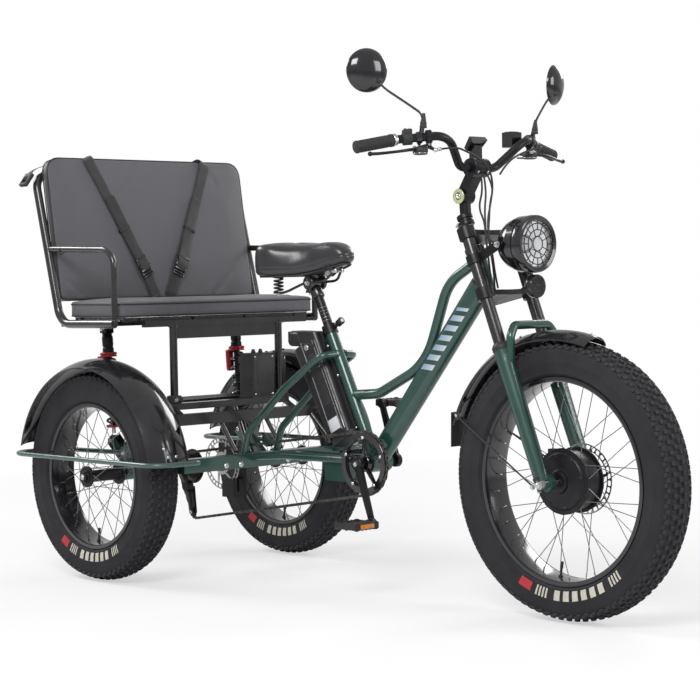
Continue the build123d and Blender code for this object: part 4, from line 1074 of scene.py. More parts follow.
def makeCushion(name, cushion):
    # modelled flat, its back at z 0 and its front up, about its own middle
    halfWidth, halfHeight = cushion["width"] / 2, cushion["height"] / 2
    deep, corners = cushion["thickness"], cushion["corners"]
    slack = cushion["slack"]
    deselectAll()
    bpy.ops.mesh.primitive_cube_add(size=1, location=(0, 0, (deep - slack) / 2),
        scale=(2 * (halfWidth - slack), 2 * (halfHeight - slack), deep - slack))
    piece = settle(bpy.context.object)
    piece.name = name
    bpy.ops.object.mode_set(mode="EDIT")
    bpy.ops.mesh.select_mode(type="EDGE")
    bpy.ops.mesh.select_all(action="DESELECT")
    objectMode()
    for corner, upper in zip(corners, (True, False)):
        for edge in piece.data.edges:
            first, second = (piece.data.vertices[n].co for n in edge.vertices)
            upright = abs(first.z - second.z) > deep / 2 and abs(abs(first.x) - halfWidth) < slack * 1.2
            edge.select = upright and abs(abs(first.y) - halfHeight) < slack * 1.2 and (first.y > 0) == upper
        bpy.ops.object.mode_set(mode="EDIT")
        bpy.ops.mesh.bevel(offset=corner - slack, segments=10, affect="EDGES")
        bpy.ops.mesh.select_all(action="DESELECT")
        objectMode()
    remeshed(piece, cushion["voxel"])
    editAll(piece)
    bpy.ops.mesh.vertices_smooth(factor=0.5, repeat=cushion["softness"])
    objectMode()

    def held(place):
        # the sides and the seams are stitched down, and only the front swells
        if place.z < deep - slack - 0.004:
            return 1.0
        return exp(-max(outlineDistance(place, halfWidth - slack, halfHeight - slack, corners), 0) / 0.012)

    swollen(piece, held, cushion["pressure"], cushion["cap"])
    reach = [max(abs(point.co[axis]) for point in piece.data.vertices) for axis in (0, 1)]
    for point in piece.data.vertices:
        place = point.co
        place.x *= (halfWidth + 0.0006) / reach[0]
        place.y *= (halfHeight + 0.0006) / reach[1]
        inside = outlineDistance(place, halfWidth, halfHeight, corners)
        front = min(max((place.z - deep * 0.6) / (deep * 0.4), 0), 1)
        # the filling crowns the front, and is softer towards the corners
        crown = cushion["crown"] * (1 - exp(-max(inside, 0) / 0.045))
        slackCorner = abs(place.x / halfWidth) ** 8 * abs(place.y / halfHeight) ** 8
        place.z += front * (crown - cushion["crown"] * 0.8 * slackCorner)
        place.z += front * 0.0009 * noise.noise(at(place.x * 9, place.y * 13, 0.4))
        # the sides pull in a little between the corners, and the edges pucker
        if front < 1 and inside < 0.03 and place.z > 0.002:
            pull = 0.0016 * (1 - abs(place.x / halfWidth) ** 4) + 0.0005 * noise.noise(place * 60)
            place.x -= copysign(pull, place.x) * (abs(place.x) > halfWidth - 0.012)
            place.y -= copysign(pull, place.y) * (abs(place.y) > halfHeight - 0.012)
    piece.data.update()
    for start, end, width, depth in cushion["folds"]:
        creased(piece, Vector((*start, 0)), Vector((*end, 0)), width, depth, deep)
    subdivided(piece)
    pick(piece)
    bpy.ops.object.shade_smooth()
    seam = []
    for level, radius, inset in cushion["piping"]:
        wide, high = halfWidth - inset, halfHeight - inset
        points = []
        for signX, signY in ((1, 1), (-1, 1), (-1, -1), (1, -1)):
            bend = corners[0 if signY > 0 else 1] - inset
            turnPoints = [(signX * wide, signY * (high - 2 * bend), level), (signX * wide, signY * high, level),
                (signX * (wide - 2 * bend), signY * high, level)]
            points += turnPoints if signX * signY > 0 else turnPoints[::-1]
        seam.append(wire(name + "Piping", points, radius, 3, True))
    return piece, joined(name + "Piping", seam)


def creased(piece, start, end, width, depth, deep):
    along = end - start
    for point in piece.data.vertices:
        if point.co.z < deep * 0.7:
            continue
        flat = at(point.co.x, point.co.y, 0)
        share = (flat - start).dot(along) / along.length_squared
        nearest = start + along * min(max(share, 0), 1)
        away = (flat - nearest).length
        side = along.cross(flat - start).z > 0
        fade = exp(-(away / width) ** 2)
        point.co.z -= depth * fade
        if side:
            point.co.z += depth * 0.7 * exp(-((away - width * 1.9) / (width * 1.3)) ** 2)
    piece.data.update()


backOrigin = at(-0.9, 0, 0.814)
backNormal = at(0.396, 0, 0.061).normalized()
backUp = at(-0.061, 0, 0.396).normalized()


def backPoint(across, up, out=0.0):
    return backOrigin + leftBy(across) + backUp * up + backNormal * out


seatCushion = {"width": 0.744, "height": 0.251, "thickness": 0.049, "corners": (0.022, 0.022), "slack": 0.003,
               "softness": 4, "voxel": 0.005, "pressure": 4.0, "cap": 0.006, "crown": 0.0035,
               "piping": [(0.0372, 0.0024, 0.0002), (0.003, 0.002, 0.0008)],
               "folds": [((-0.3, -0.105), (-0.345, -0.06), 0.006, 0.0012), ((0.31, -0.1), (0.35, -0.05),
                   0.006, 0.0012),
                         ((-0.02, 0.12), (0.03, 0.085), 0.008, 0.0008)]}
backCushion = {"width": 0.748, "height": 0.428, "thickness": 0.034, "corners": (0.05, 0.02), "slack": 0.003,
               "softness": 4, "voxel": 0.006, "pressure": 4.0, "cap": 0.006, "crown": 0.003,
               "piping": [(0.0262, 0.0022, 0.0002), (0.0026, 0.0018, 0.0008)],
               "folds": [((0.205, -0.213), (0.372, -0.064), 0.011, 0.0026), ((-0.3, -0.2), (-0.36, -0.15),
                   0.008, 0.0012),
                         ((-0.05, 0.2), (-0.1, 0.15), 0.01, 0.001), ((0.22, 0.205), (0.26, 0.15), 0.01, 0.001)]}

cushionPieces = (
    ("seatCushion", seatCushion, "bench_seat_cushion", at(-0.7465, 0, 0.764),
     (leftBy(1), at(-1, 0, 0), upBy(1))),
    ("backCushion", backCushion, "bench_back_cushion", backPoint(0, 0.216, -0.034),
     (leftBy(1), backUp, backNormal)),
)
for cushionName, cushion, cushionNode, place, (sideways, upwards, outwards) in cushionPieces:
    pad, piping = makeCushion(cushionName, cushion)
    inFrame(pad, place, sideways, upwards, outwards)
    inFrame(piping, place, sideways, upwards, outwards)
    finished(pad, "frame", "seatVinyl", cushionNode)
    finished(piping, "frame", "mattePlastic")
print("cushions made")


# Straps: ribbons of webbing with their buckles

def smoothPath(points, spacing=0.006):
    # evenly spaced places on a smooth line through the points
    points = [Vector(p) for p in points]
    points = [points[0] * 2 - points[1]] + points + [points[-1] * 2 - points[-2]]
    fine = []
    for a, b, c, d in zip(points, points[1:], points[2:], points[3:]):
        count = max(2, int((c - b).length / spacing))
        for step in range(count):
            t = step / count
            fine.append(0.5 * (2 * b + (c - a) * t + (2 * a - 5 * b + 4 * c - d) * t * t
                + (3 * b - a - 3 * c + d) * t ** 3))
    return fine + [points[-2]]


def ribbon(name, points, across, width, thickness, twist=0.0):
    path = smoothPath(points)
    across = Vector(across).normalized()
    lengths = [0.0]
    for start, end in zip(path, path[1:]):
        lengths.append(lengths[-1] + (end - start).length)
    deselectAll()
    bpy.ops.mesh.primitive_grid_add(x_subdivisions=4, y_subdivisions=len(path) - 1, size=1)
    piece = named(name)
    spots = [(point.co.x, round((point.co.y + 0.5) * (len(path) - 1))) for point in piece.data.vertices]
    for loop in piece.data.loops:
        share, row = spots[loop.vertex_index]
        piece.data.uv_layers[0].data[loop.index].uv = (share * width, lengths[row])
    for point, (share, row) in zip(piece.data.vertices, spots):
        ahead = path[min(row + 1, len(path) - 1)] - path[max(row - 1, 0)]
        side = (across - ahead * (across.dot(ahead) / ahead.length_squared)).normalized()
        side = Matrix.Rotation(twist * lengths[row] / lengths[-1], 3, ahead.normalized()) @ side
        point.co = path[row] + side * share * width
    wall = piece.modifiers.new("wall", "SOLIDIFY")
    wall.thickness = thickness
    wall.offset = 0
    applyModifiers(piece)
    return smoothed(bevelled(piece, thickness * 0.3, 2, 50), 50)


def makeBuckle(name):
    # x across, y down the strap, z outwards; the strap lies at z 0
    buckle = {"width": 0.044, "height": 0.0105}
    half = buckle["width"] / 2
    body = slab(name, (-half, -0.018, 0.0), (half, 0.018, buckle["height"]), 0.0028, 3)
    window = slab("window", (-0.009, -0.004, -0.002), (0.009, 0.012, 0.02), 0.002, 2)
    sides = [slab("side", (x - 0.006, -0.01, -0.003), (x + 0.006, 0.006, 0.018), 0.002, 2)
        for x in (-half - 0.001, half + 0.001)]
    slot = slab("slot", (-0.018, -0.0155, -0.004), (0.018, -0.012, 0.018), 0.0004, 1)
    cutBy(body, window, slot, *sides)
    tongue = slab("tongue", (-0.0075, -0.006, 0.0025), (0.0075, 0.014, 0.0075), 0.0015, 2)
    prongs = [slab("prong", (x - 0.0028, -0.012, 0.003), (x + 0.0028, 0.016, 0.0075), 0.0013, 2)
        for x in (-half + 0.0045, half - 0.0045)]
    plate = slab("plate", (-half + 0.001, 0.0195, 0.0005), (half - 0.001, 0.029, 0.0095), 0.002, 2)
    bars = [slab("barAcross", (-half + 0.001, y, 0.0015), (half - 0.001, y + 0.0036, 0.0075), 0.0012, 2)
        for y in (0.0335, 0.042)]
    rails = [slab("rail", (x - 0.0018, 0.027, 0.0015), (x + 0.0018, 0.045, 0.007), 0.0012, 2)
        for x in (-half + 0.0028, half - 0.0028)]
    ribs = [slab("rib", (-0.0075, y, 0.0072), (0.0075, y + 0.0012, 0.0086), 0.0003, 1)
        for y in (-0.003, 0.001, 0.005)]
    return smoothed(joined(name, [body, tongue, plate] + prongs + bars + rails + ribs), 35)


def makeStraps():
    strap = {"width": 0.036, "thickness": 0.0017, "top": (0.226, 0.42), "foot": (0.027, 0.004),
        "buckleAt": 0.74}
    webbing = []
    for side in (-1, 1):
        top = at(side * strap["top"][0], strap["top"][1], 0)
        foot = at(side * strap["foot"][0], strap["foot"][1], 0)
        along = foot - top
        across = at(along.y, -along.x, 0).normalized()
        acrossReal = leftBy(across.x) + backUp * across.y

        def spot(share, out, offset=0.0):
            flat = top + along * share + across * offset
            return backPoint(flat.x, flat.y, out)

        over = [backPoint(top.x - side * 0.006, 0.15, -0.044), backPoint(top.x - side * 0.004, 0.38, -0.043),
            backPoint(top.x - side * 0.002, 0.424, -0.04), backPoint(top.x, 0.4325, -0.026),
            backPoint(top.x, 0.4325, -0.01), backPoint(top.x, 0.4265, 0.002)]
        run = [spot(0.03, 0.006), spot(0.12, 0.0078), spot(0.3, 0.0086), spot(0.5, 0.0094), spot(0.66, 0.0118),
            spot(0.74, 0.014)]
        tail = [spot(0.8, 0.0128), spot(0.87, 0.011), spot(0.94, 0.0085), spot(0.985, 0.0058),
            spot(1.0, -0.0015)]
        webbing += [ribbon("strap", over + run, acrossReal, strap["width"], strap["thickness"]),
            ribbon("strapTail", [spot(0.735, 0.0155)] + tail, acrossReal, strap["width"], strap["thickness"])]
        # the doubled end comes back up over the strap, held by two keepers
        back = [spot(0.795, 0.0215), spot(0.755, 0.024), spot(0.66, 0.017), spot(0.5, 0.014, side * 0.002),
            spot(0.34, 0.013, side * 0.003), spot(0.27, 0.015, side * 0.001)]
        webbing.append(ribbon("strapEnd", back, acrossReal, strap["width"] * 0.96, strap["thickness"],
            side * 0.1))
        outwards = backNormal
        down = (leftBy(along.x) + backUp * along.y).normalized()
        sideways = down.cross(outwards)
        finished(inFrame(makeBuckle(sided("strapBuckle", side)), spot(strap["buckleAt"] + 0.01, 0.0125),
            sideways, down, outwards), "frame", "glossPlastic")
        finished(inFrame(slab(sided("strapKeeper", side), (-0.021, -0.005, -0.002), (0.021, 0.005, 0.0075),
            0.0018, 2), spot(0.5, 0.0095), sideways, down, outwards), "frame", "mattePlastic")
    finished(joined("strapWebbing", webbing), "frame", "webbingWeave", "bench_straps")


def makeLooseStrap():
    # the spare strap runs out behind the backrest's right top corner, past the hoop, with its end piece
    points = [(-0.99, -0.28, 1.205), (-1.006, -0.32, 1.22), (-1.012, -0.36, 1.213), (-1.012, -0.392, 1.201),
        (-1.01, -0.408, 1.188)]
    finished(ribbon("looseStrap", points, (0.98, 0, 0.15), 0.026, 0.0016), "frame", "webbingWeave")
    end = slab("looseStrapEnd", (-0.017, -0.006, -0.028), (0.017, 0.006, 0.018), 0.003, 3)
    slot = slab("slot", (-0.0115, -0.012, -0.018), (0.0115, 0.012, -0.01), 0.001, 2)
    cutBy(end, slot)
    down = at(0.02, -0.62, -0.78).normalized()
    sideways = at(1, 0, 0) - down * down.x
    inFrame(end, (-1.01, -0.414, 1.176), sideways.normalized(), down.cross(sideways.normalized()), -down)
    finished(end, "frame", "mattePlastic")


makeStraps()
makeLooseStrap()
print("straps made")


# Bench: tray, backboard, bolts, sockets and weld beads

def weldBead(name, place, direction, radius, thickness=0.0016, steps=40):
    bead = ring(name, place, direction, radius, thickness, steps, 8)
    middle = Vector(place)
    for number, point in enumerate(bead.data.vertices):
        away = point.co - middle
        point.co = middle + away * (1 + 0.01 * noise.noise(point.co * 260))
    return bead


def makeBenchDetails():
    bench = {"post": (-0.596, 0.203)}
    # the backboard behind the cushion, with its bolts
    finished(inFrame(slab("backBoard", (-0.352, -0.195, -0.0045), (0.352, 0.195, 0.0), 0.0015, 2),
        backPoint(0, 0.216, -0.0348), leftBy(1), backUp, backNormal), "frame", "apronPlate")
    for across in (-0.3, -0.1, 0.1, 0.3):
        for up in (0.06, 0.37):
            fasten(bolt, "frame", backPoint(across, up, -0.0396), -backNormal, 1.3, 0.3)
    # rolled edge of the tray under the seat cushion and its screws
    for side in (-1, 1):
        for x in (-0.845, -0.75, -0.655):
            fasten(bolt, "frame", (x, side * 0.3542, 0.756), (0, side, 0), 1.0, 0.2)
    for y in (-0.3, -0.1, 0.1, 0.3):
        fasten(bolt, "frame", (-0.6318, y, 0.756), (1, 0, 0), 1.0, 0.4, "blackAlloy")
    trim = [bar("benchTrim", (-0.6296, -0.352, 0.7628), (-0.6296, 0.352, 0.7628), (1, 0, 0), 0.0024, 0.0026,
        0.0008)]
    trim += [bar("benchTrim", (-0.866, side * 0.356, 0.7628), (-0.632, side * 0.356, 0.7628), (0, 0, 1), 0.0026,
        0.0024, 0.0008) for side in (-1, 1)]
    finished(joined("benchTrim", trim), "frame", "brightSteel")
    beads, knuckles = [], []
    for side in (-1, 1):
        x, y = bench["post"]
        # post feet: clamp knuckle with a cross bolt, and its weld to the deck
        sleeve = turned("postKnuckle", mm((17.5, 0), (21.5, 0), (22.2, 0.8), (22.2, 19), (20, 21.2), (14, 22),
            (11.8, 22)), (x, side * y, 0.5108), (0, 0, 1), 40)
        ear = slab("ear", (x + 0.014, side * y - 0.01, 0.515), (x + 0.03, side * y + 0.01, 0.529), 0.0025, 3)
        knuckles += [sleeve, ear]
        fasten(nut, "frame", (x + 0.0235, side * y - 0.01, 0.522), (0, -1, 0), 0.85)
        fasten(bolt, "frame", (x + 0.0235, side * y + 0.01, 0.522), (0, 1, 0), 0.95)
        beads += [weldBead("postWeld", (x, side * y, 0.733), (0, 0, 1), 0.013),
            weldBead("armWeld", (-0.882, side * 0.387, 0.96), (-0.9, 0, 0.1), 0.0105),
            weldBead("armWeld", (-0.63, side * 0.387, 0.756), (0, 0, 1), 0.0105)]
    finished(joined("postKnuckles", knuckles), "frame", "mattePlastic")
    finished(joined("benchWelds", beads), "frame", "blackTube")
    for side in (-1, 1):
        for z in (0.705, 0.729):
            fasten(bolt, "frame", (-0.5985, side * 0.19, z), (1, 0, 0), 1.0, 0.1, "blackAlloy")
    # deck bolts and its two long ribs
    for x in (-0.815, -0.7, -0.6):
        for side in (-1, 1):
            fasten(bolt, "frame", (x, side * 0.208, 0.5105), (0, 0, 1), 1.1)
    ribs = [bar("deckRib", (x, -0.195, 0.5112), (x, 0.195, 0.5112), (1, 0, 0), 0.01, 0.0024, 0.001)
        for x in (-0.79, -0.755, -0.72, -0.69)]
    finished(joined("deckRibs", ribs), "frame", "blackTube")


makeBenchDetails()


# Shocks: coil springs, red collars, reservoirs and eyes

def helix(name, start, end, radius, wireRadius, turns, closing=0.7):
    # turns per end are closed up, as a ground coil's are; the curve is a NURBS line
    start, end = Vector(start), Vector(end)
    axis = (end - start).normalized()
    side = axis.orthogonal().normalized()
    other = axis.cross(side)
    length = (end - start).length
    count = int(turns * 10)
    points = []
    for number in range(count + 1):
        share = number / count
        flat = min(share * turns, (1 - share) * turns, closing) / closing
        height = share * length
        if flat < 1:
            edge = closing / turns
            height = (edge * length) * flat ** 1.6 if share < 0.5 else length - (edge * length) * flat ** 1.6
        around = share * turns * 2 * pi
        reach = radius / cos(pi / 10)
        points.append(start + axis * height + (side * cos(around) + other * sin(around)) * reach)
    piece = route(name, points, wireRadius)
    piece.data.resolution_u = 3
    piece.data.bevel_resolution = 2
    pick(piece)
    bpy.ops.object.convert(target="MESH")
    return smoothed(bpy.context.object, 60)


def makeShocks():
    shock = {"top": at(-0.854, 0.25, 0.726), "foot": at(-0.828, 0.248, 0.396), "turns": 7.5}
    springs, reds, blacks, brights = [], [], [], []
    for side in (-1, 1):
        top = at(shock["top"].x, side * shock["top"].y, shock["top"].z)
        foot = at(shock["foot"].x, side * shock["foot"].y, shock["foot"].z)
        down = (foot - top).normalized()
        springs.append(helix("spring", top + down * 0.0845, top + down * 0.2855, 0.0182, 0.0036,
            shock["turns"]))
        reds += [turned("collar", mm((12, 70.5), (23.5, 70.5), (25.2, 72), (25.2, 76.5), (23.5, 78), (23.5, 80),
            (25.2, 81.5), (25.2, 83.5), (24, 84.2), (12, 84.2)), top, down, 36),
            turned("footCollar", mm((8, 286), (21.5, 286), (22.2, 287), (22.2, 291.5), (20.5, 294), (8, 296)),
            top, down, 36)]
        # knurls that turn the upper collar
        knurl = bar("knurl", (0.0246, 0, 0.0725), (0.0246, 0, 0.0762), (0, 1, 0), 0.0022, 0.0018, 0.0004)
        reds.append(placed(arrayed(knurl, 16, "Z"), top, down))
        # reservoir beside the body, on the outside
        reds.append(turned("tank", mm((0, -34), (10, -34), (11.8, -32), (12.5, -29), (12.5, 26), (11.8, 30),
            (9.5, 33), (0, 33)), top + down * 0.116 + at(-0.036, 0, 0.0), down, 32))
        blacks += [turned("body", mm((0, 18), (12.5, 18.5), (15, 21), (16.5, 26), (16.5, 50), (15, 52),
            (15, 56), (16.8, 58), (16.8, 70)), top, down, 36), rod("inner", top + down * 0.08,
            top + down * 0.292, 0.0098, 24, 0.0005), bar("tankBridge", top + down * 0.064 + at(-0.01, 0, 0),
            top + down * 0.09 + at(-0.034, 0, 0), (0, 1, 0), 0.014, 0.012, 0.003)]
        brights.append(rod("shaft", top + down * 0.29, top + down * 0.312, 0.005, 20, 0.0003))
        for place in (top, foot):
            blacks.append(turned("eye", mm((5.5, -10.5), (13.5, -10.5), (14.2, -9.5), (14.2, 9.5), (13.5, 10.5),
                (5.5, 10.5), (5.5, -10.5)), place, (0, 1, 0), 32))
            fasten(nut, "frame", place + leftBy(side * 0.0148), (0, side, 0), 0.95)
            fasten(bolt, "frame", place - leftBy(side * 0.0158), (0, -side, 0), 1.3)
        for offset in (-0.0132, 0.0132):
            blacks.append(bar("ear", top + at(0, offset, -0.013), top + at(0, offset, 0.016), (1, 0, 0), 0.03,
                0.0028, 0.0008))
        # bellows over the head of the shock
        folds = [(0.01, 0.004)]
        for number in range(4):
            folds += [(0.0185 - 0.0012 * number, 0.0065 + 0.004 * number), (0.014, 0.0085 + 0.004 * number)]
        blacks.append(turned("bellows", folds, top, down, 36))
    finished(joined("shockCoils", springs), "frame", "glossPlastic", "shock_springs", slot="black_alloy")
    finished(joined("shockCollars", reds), "frame", "redAnodised")
    finished(joined("shockBodies", blacks), "frame", "blackAlloy", "shock_absorbers")
    finished(joined("shockShafts", brights), "frame", "brightSteel")


makeShocks()
print("bench details and shocks made")


# Saddle, its springs and clamp, seat clamp and battery

seatTubeTop = at(-0.148, 0, 0.728)
seatLine = at(-0.4413, 0, 0.8974).normalized()
seatBehind = at(-seatLine.z, 0, seatLine.x)


def upSeatTube(along, behind=0.0, side=0.0):
    return seatTubeTop + seatLine * along + seatBehind * behind + leftBy(side)


def makeSaddle():
    saddle = {"voxel": 0.005, "cap": 0.006, "channelDepth": 0.0045, "seamDepth": 0.001, "pressure": 4.0}
    cover = newObject("saddleCover", nodes["saddle"].data.copy())
    editAll(cover)
    bpy.ops.mesh.remove_doubles(threshold=0.00005)
    objectMode()
    remeshed(cover, saddle["voxel"])
    editAll(cover)
    bpy.ops.mesh.vertices_smooth(factor=0.5, repeat=24)
    objectMode()

    def under(x):
        if x < -0.2:
            return 0.873
        return 0.873 + (x + 0.2) * 0.25

    swollen(cover, lambda place: 1.0 if place.z < under(place.x) + 0.014 else 0.0, saddle["pressure"],
        saddle["cap"])
    editAll(cover)
    bpy.ops.mesh.vertices_smooth(factor=0.5, repeat=20)
    objectMode()
    low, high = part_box("saddle")
    for axis in (0, 1, 2):
        least = min(point.co[axis] for point in cover.data.vertices)
        most = max(point.co[axis] for point in cover.data.vertices)
        for point in cover.data.vertices:
            share = (point.co[axis] - least) / (most - least)
            point.co[axis] = low[axis] + share * (high[axis] - low[axis])
    subdivided(cover)
    for point in cover.data.vertices:
        x, y, z = point.co
        top = min(max((z - 0.925) / 0.02, 0), 1)
        # relief channel down the middle, and a seam each side of it
        length = min(max((x + 0.325) / 0.04, 0), 1) * min(max((-0.115 - x) / 0.05, 0), 1)
        point.co.z -= top * length * saddle["channelDepth"] * exp(-(y / 0.011) ** 2)
        seamAt = 0.048 + 0.42 * max(-0.17 - x, 0)
        point.co.z -= top * saddle["seamDepth"] * exp(-((abs(y) - seamAt) / 0.0022) ** 2)
        # a seam round the side where the cover meets its skirt
        level = under(x) + 0.024
        if 0 < abs(z - level) < 0.008:
            pull = saddle["seamDepth"] * exp(-((z - level) / 0.0022) ** 2)
            middle = at(-0.235, 0, z)
            point.co -= (point.co - middle).normalized() * pull
    cover.data.update()
    pick(cover)
    bpy.ops.object.shade_smooth()
    finished(cover, "frame", "saddleSkin", "saddle")
    # the rim of the plastic pan under the skirt
    rim = mm((-68, 10), (-86, 28), (-156, 38), (-213, 80), (-268, 120), (-320, 112), (-341, 58))
    loop = [(x, y, under(x) + 0.001) for x, y in rim] + [(x, -y, under(x) + 0.001) for x, y in reversed(rim)]
    finished(wire("saddlePanRim", loop, 0.003, 3, True), "frame", "mattePlastic")


def makeSaddleSupport():
    support = {"springAt": (-0.29, 0.062), "springLow": 0.8265, "springHigh": 0.872}
    clamp = upSeatTube(0.128)
    railLevel = clamp.z + 0.014
    blacks, brights = [], []
    for side in (-1, 1):
        x, y = support["springAt"]
        rail = [(-0.29, side * 0.062, 0.8265), (-0.272, side * 0.053, 0.8275), (-0.242, side * 0.036, 0.844),
            (-0.218, side * 0.025, railLevel - 0.002), (-0.185, side * 0.0245, railLevel),
            (-0.14, side * 0.024, railLevel + 0.002), (-0.12, side * 0.017, 0.876),
            (-0.106, side * 0.012, 0.893)]
        blacks += [wire("saddleRail", rail, 0.0038), helix("saddleSpring", (x, side * y, support["springLow"]),
            (x, side * y, support["springHigh"]), 0.0125, 0.0026, 4.6)]
        for level, way in ((support["springLow"] - 0.0012, 1), (support["springHigh"] + 0.0008, -1)):
            blacks.append(turned("springCup", mm((0, 0), (15, 0), (15.8, 0.6), (15.8, 2.2), (14.5, 3), (9, 3),
                (0, 3.6)), (x, side * y, level), (0, 0, way), 32))
        fasten(nut, "frame", (x, side * y, support["springLow"] - 0.0012), (0, 0, -1), 0.8)
        # serrated clamp plates over the rails
        blacks.append(turned("railPlate", mm((6.5, 0), (19, 0), (20.5, 1.2), (20.5, 8), (18, 10), (6.5, 10)),
            (clamp.x, side * 0.0195, clamp.z + 0.012), (0, side, 0), 24))
        fasten(nut, "frame", (clamp.x, side * 0.0292, clamp.z + 0.012), (0, side, 0), 1.05)
        brights.append(moved(slab("railClip", (-0.012, -0.005, -0.006), (0.012, 0.005, 0.006), 0.002, 2),
            at(-0.114, side * 0.0135, 0.888)))
    sleeve = turned("clampSleeve", mm((13.8, -18), (17.2, -18), (18, -16), (18, 6), (16.5, 10), (13.8, 10)),
        upSeatTube(0.112), seatLine, 36)
    yoke = rod("clampYoke", (clamp.x, -0.02, clamp.z + 0.012), (clamp.x, 0.02, clamp.z + 0.012), 0.014, 28,
        0.001)
    blacks += [sleeve, yoke]
    finished(joined("saddleSupport", blacks), "frame", "blackTube", "saddle_rails")
    finished(joined("saddleClips", brights), "frame", "brightSteel")
    # ring marks on the seatpost, its clamp's line and the pale-centred knob
    marks = [ring("postMark", upSeatTube(level), seatLine, 0.01345, 0.0003, 40, 6)
        for level in (0.02, 0.03, 0.04, 0.05, 0.06)]
    finished(joined("seatpostMarks", marks), "frame", "brightSteel")
    finished(turned("seatKnob", mm((0, 0), (8.5, 0), (10.5, 1.2), (10.8, 4), (9.8, 6.8), (6.6, 7.8), (6, 7),
        (0, 7)), upSeatTube(-0.004, -0.0495), -seatBehind, 32), "frame", "mattePlastic")
    finished(turned("seatKnobCentre", mm((0, 8.6), (4, 8.4), (5.6, 7.4), (5.6, 6.6), (0, 6.6)),
        upSeatTube(-0.004, -0.0495), -seatBehind, 28), "frame", "whiteLabel", slot="bright_steel")
    finished(bar("seatLever", upSeatTube(-0.01, 0.012, -0.024), upSeatTube(-0.062, 0.02, -0.029), seatBehind,
        0.011, 0.005, 0.0018, 0.7), "frame", "blackAlloy")


def makeBatteryDetails():
    battery = {"face": 0.0381, "behind": 0.064, "low": -0.288}
    strips, plates = [], []
    for side in (-1, 1):
        for offset, width, high in ((-0.029, 0.0034, -0.018), (-0.019, 0.0022, -0.016), (0.027, 0.003, -0.004)):
            behind = battery["behind"] + offset
            strips.append(bar("strip", upSeatTube(battery["low"], behind, side * battery["face"]),
                upSeatTube(high, behind, side * battery["face"]), seatBehind, width, 0.0016, 0.0006))
        # recessed panel's frame between the strips
        plates += [bar("panel", upSeatTube(-0.205, 0.068, side * battery["face"]),
            upSeatTube(-0.05, 0.068, side * battery["face"]), seatBehind, 0.036, 0.0018, 0.0008),
            bar("capBand", upSeatTube(-0.034, 0.04, side * battery["face"]),
            upSeatTube(-0.01, 0.088, side * battery["face"]), seatLine, 0.01, 0.0024, 0.001)]
    finished(joined("batteryStrips", strips), "frame", "brightSteel")
    finished(joined("batteryPanels", plates), "frame", "mattePlastic")
    # the case widens upwards behind, under a rounded head
    back = bar("batteryBack", upSeatTube(-0.29, 0.0905), upSeatTube(-0.004, 0.1085), (0, 1, 0), 0.074, 0.05,
        0.012)
    head = slab("batteryHead", (-0.2965, -0.03, 0.674), (-0.22, 0.03, 0.7185), 0.013, 4)
    finished(joined("batteryHead", [back, head]), "frame", "packPlastic")
    finished(bar("batteryLabel", upSeatTube(-0.282, 0.068, -0.0388), upSeatTube(-0.246, 0.068, -0.0388),
        seatBehind, 0.04, 0.0006, 0.0002), "frame", "whiteLabel", slot="lens")
    finished(turned("batteryLock", mm((0, 4.8), (2.2, 4.8), (3, 3.6), (7.8, 3.6), (9, 2.4), (9.2, 0)),
        upSeatTube(-0.026, 0.074, -0.0378), (0, -1, 0), 32), "frame", "brightSteel")
    lugs = [bar("cradleLug", upSeatTube(-0.31, 0.024, side * 0.04), upSeatTube(-0.31, 0.098, side * 0.04),
        seatLine, 0.014, 0.0036, 0.001) for side in (-1, 1)]
    finished(joined("cradleLugs", lugs), "frame", "mattePlastic")
    for along in (-0.3, -0.14, -0.05):
        for side in (-1, 1):
            fasten(bolt, "frame", upSeatTube(along, 0.014, side * 0.0166), (0, side, 0), 0.8, 0.2)


def makeBoxDetails():
    boxes = {"first": ((-0.633, 0.078, 0.5105), (-0.573, 0.166, 0.644)),
        "second": ((-0.669, 0.17, 0.5105), (-0.627, 0.262, 0.634))}
    lids, glands = [], []
    for low, high in boxes.values():
        low, high = Vector(low), Vector(high)
        lids += [slab("lid", (high.x - 0.0005, low.y + 0.004, low.z + 0.005),
            (high.x + 0.0022, high.y - 0.004, high.z - 0.005), 0.0012, 2),
            slab("lidPad", (high.x + 0.001, low.y + 0.016, low.z + 0.04),
            (high.x + 0.0034, high.y - 0.016, high.z - 0.022), 0.0014, 2)]
        lids += [slab("fin", (low.x + 0.01, low.y - 0.0016, z), (high.x - 0.01, low.y + 0.001, z + 0.0022),
            0.0006, 1) for z in (low.z + 0.03, low.z + 0.038, low.z + 0.046, low.z + 0.054)]
        for y in (low.y + 0.01, high.y - 0.01):
            for z in (low.z + 0.011, high.z - 0.011):
                fasten(bolt, "frame", (high.x + 0.0024, y, z), (1, 0, 0), 0.6, 0.2)
        for y in (low.y + 0.03, high.y - 0.03):
            glands.append(turned("gland", mm((3, -1), (6.6, -1), (7, 0), (7, 5), (5.2, 6.5), (5.2, 10),
                (3.6, 11.8)), ((low.x + high.x) / 2, y, high.z), (0, 0, 1), 6))
    finished(joined("boxLids", lids), "frame", "mattePlastic")
    finished(joined("boxGlands", glands), "frame", "mattePlastic")


makeSaddle()
makeSaddleSupport()
makeBatteryDetails()
makeBoxDetails()
print("saddle, battery and boxes made")


# Handlebar: grips, levers, switches, display, mirrors and the stem's ring

gripEnd, gripInner = at(0.362, -0.372, 1.194), at(0.39, -0.258, 1.215)
barBend = at(0.466, -0.148, 1.226)
barCentre = at(0.426, 0, 1.148)


def onSide(point, side):
    return at(point[0], point[1] if side < 0 else -point[1], point[2])


def alongBar(side, share):
    low, high = onSide(gripInner, side), onSide(barBend, side)
    return low + (high - low) * share, (high - low).normalized()


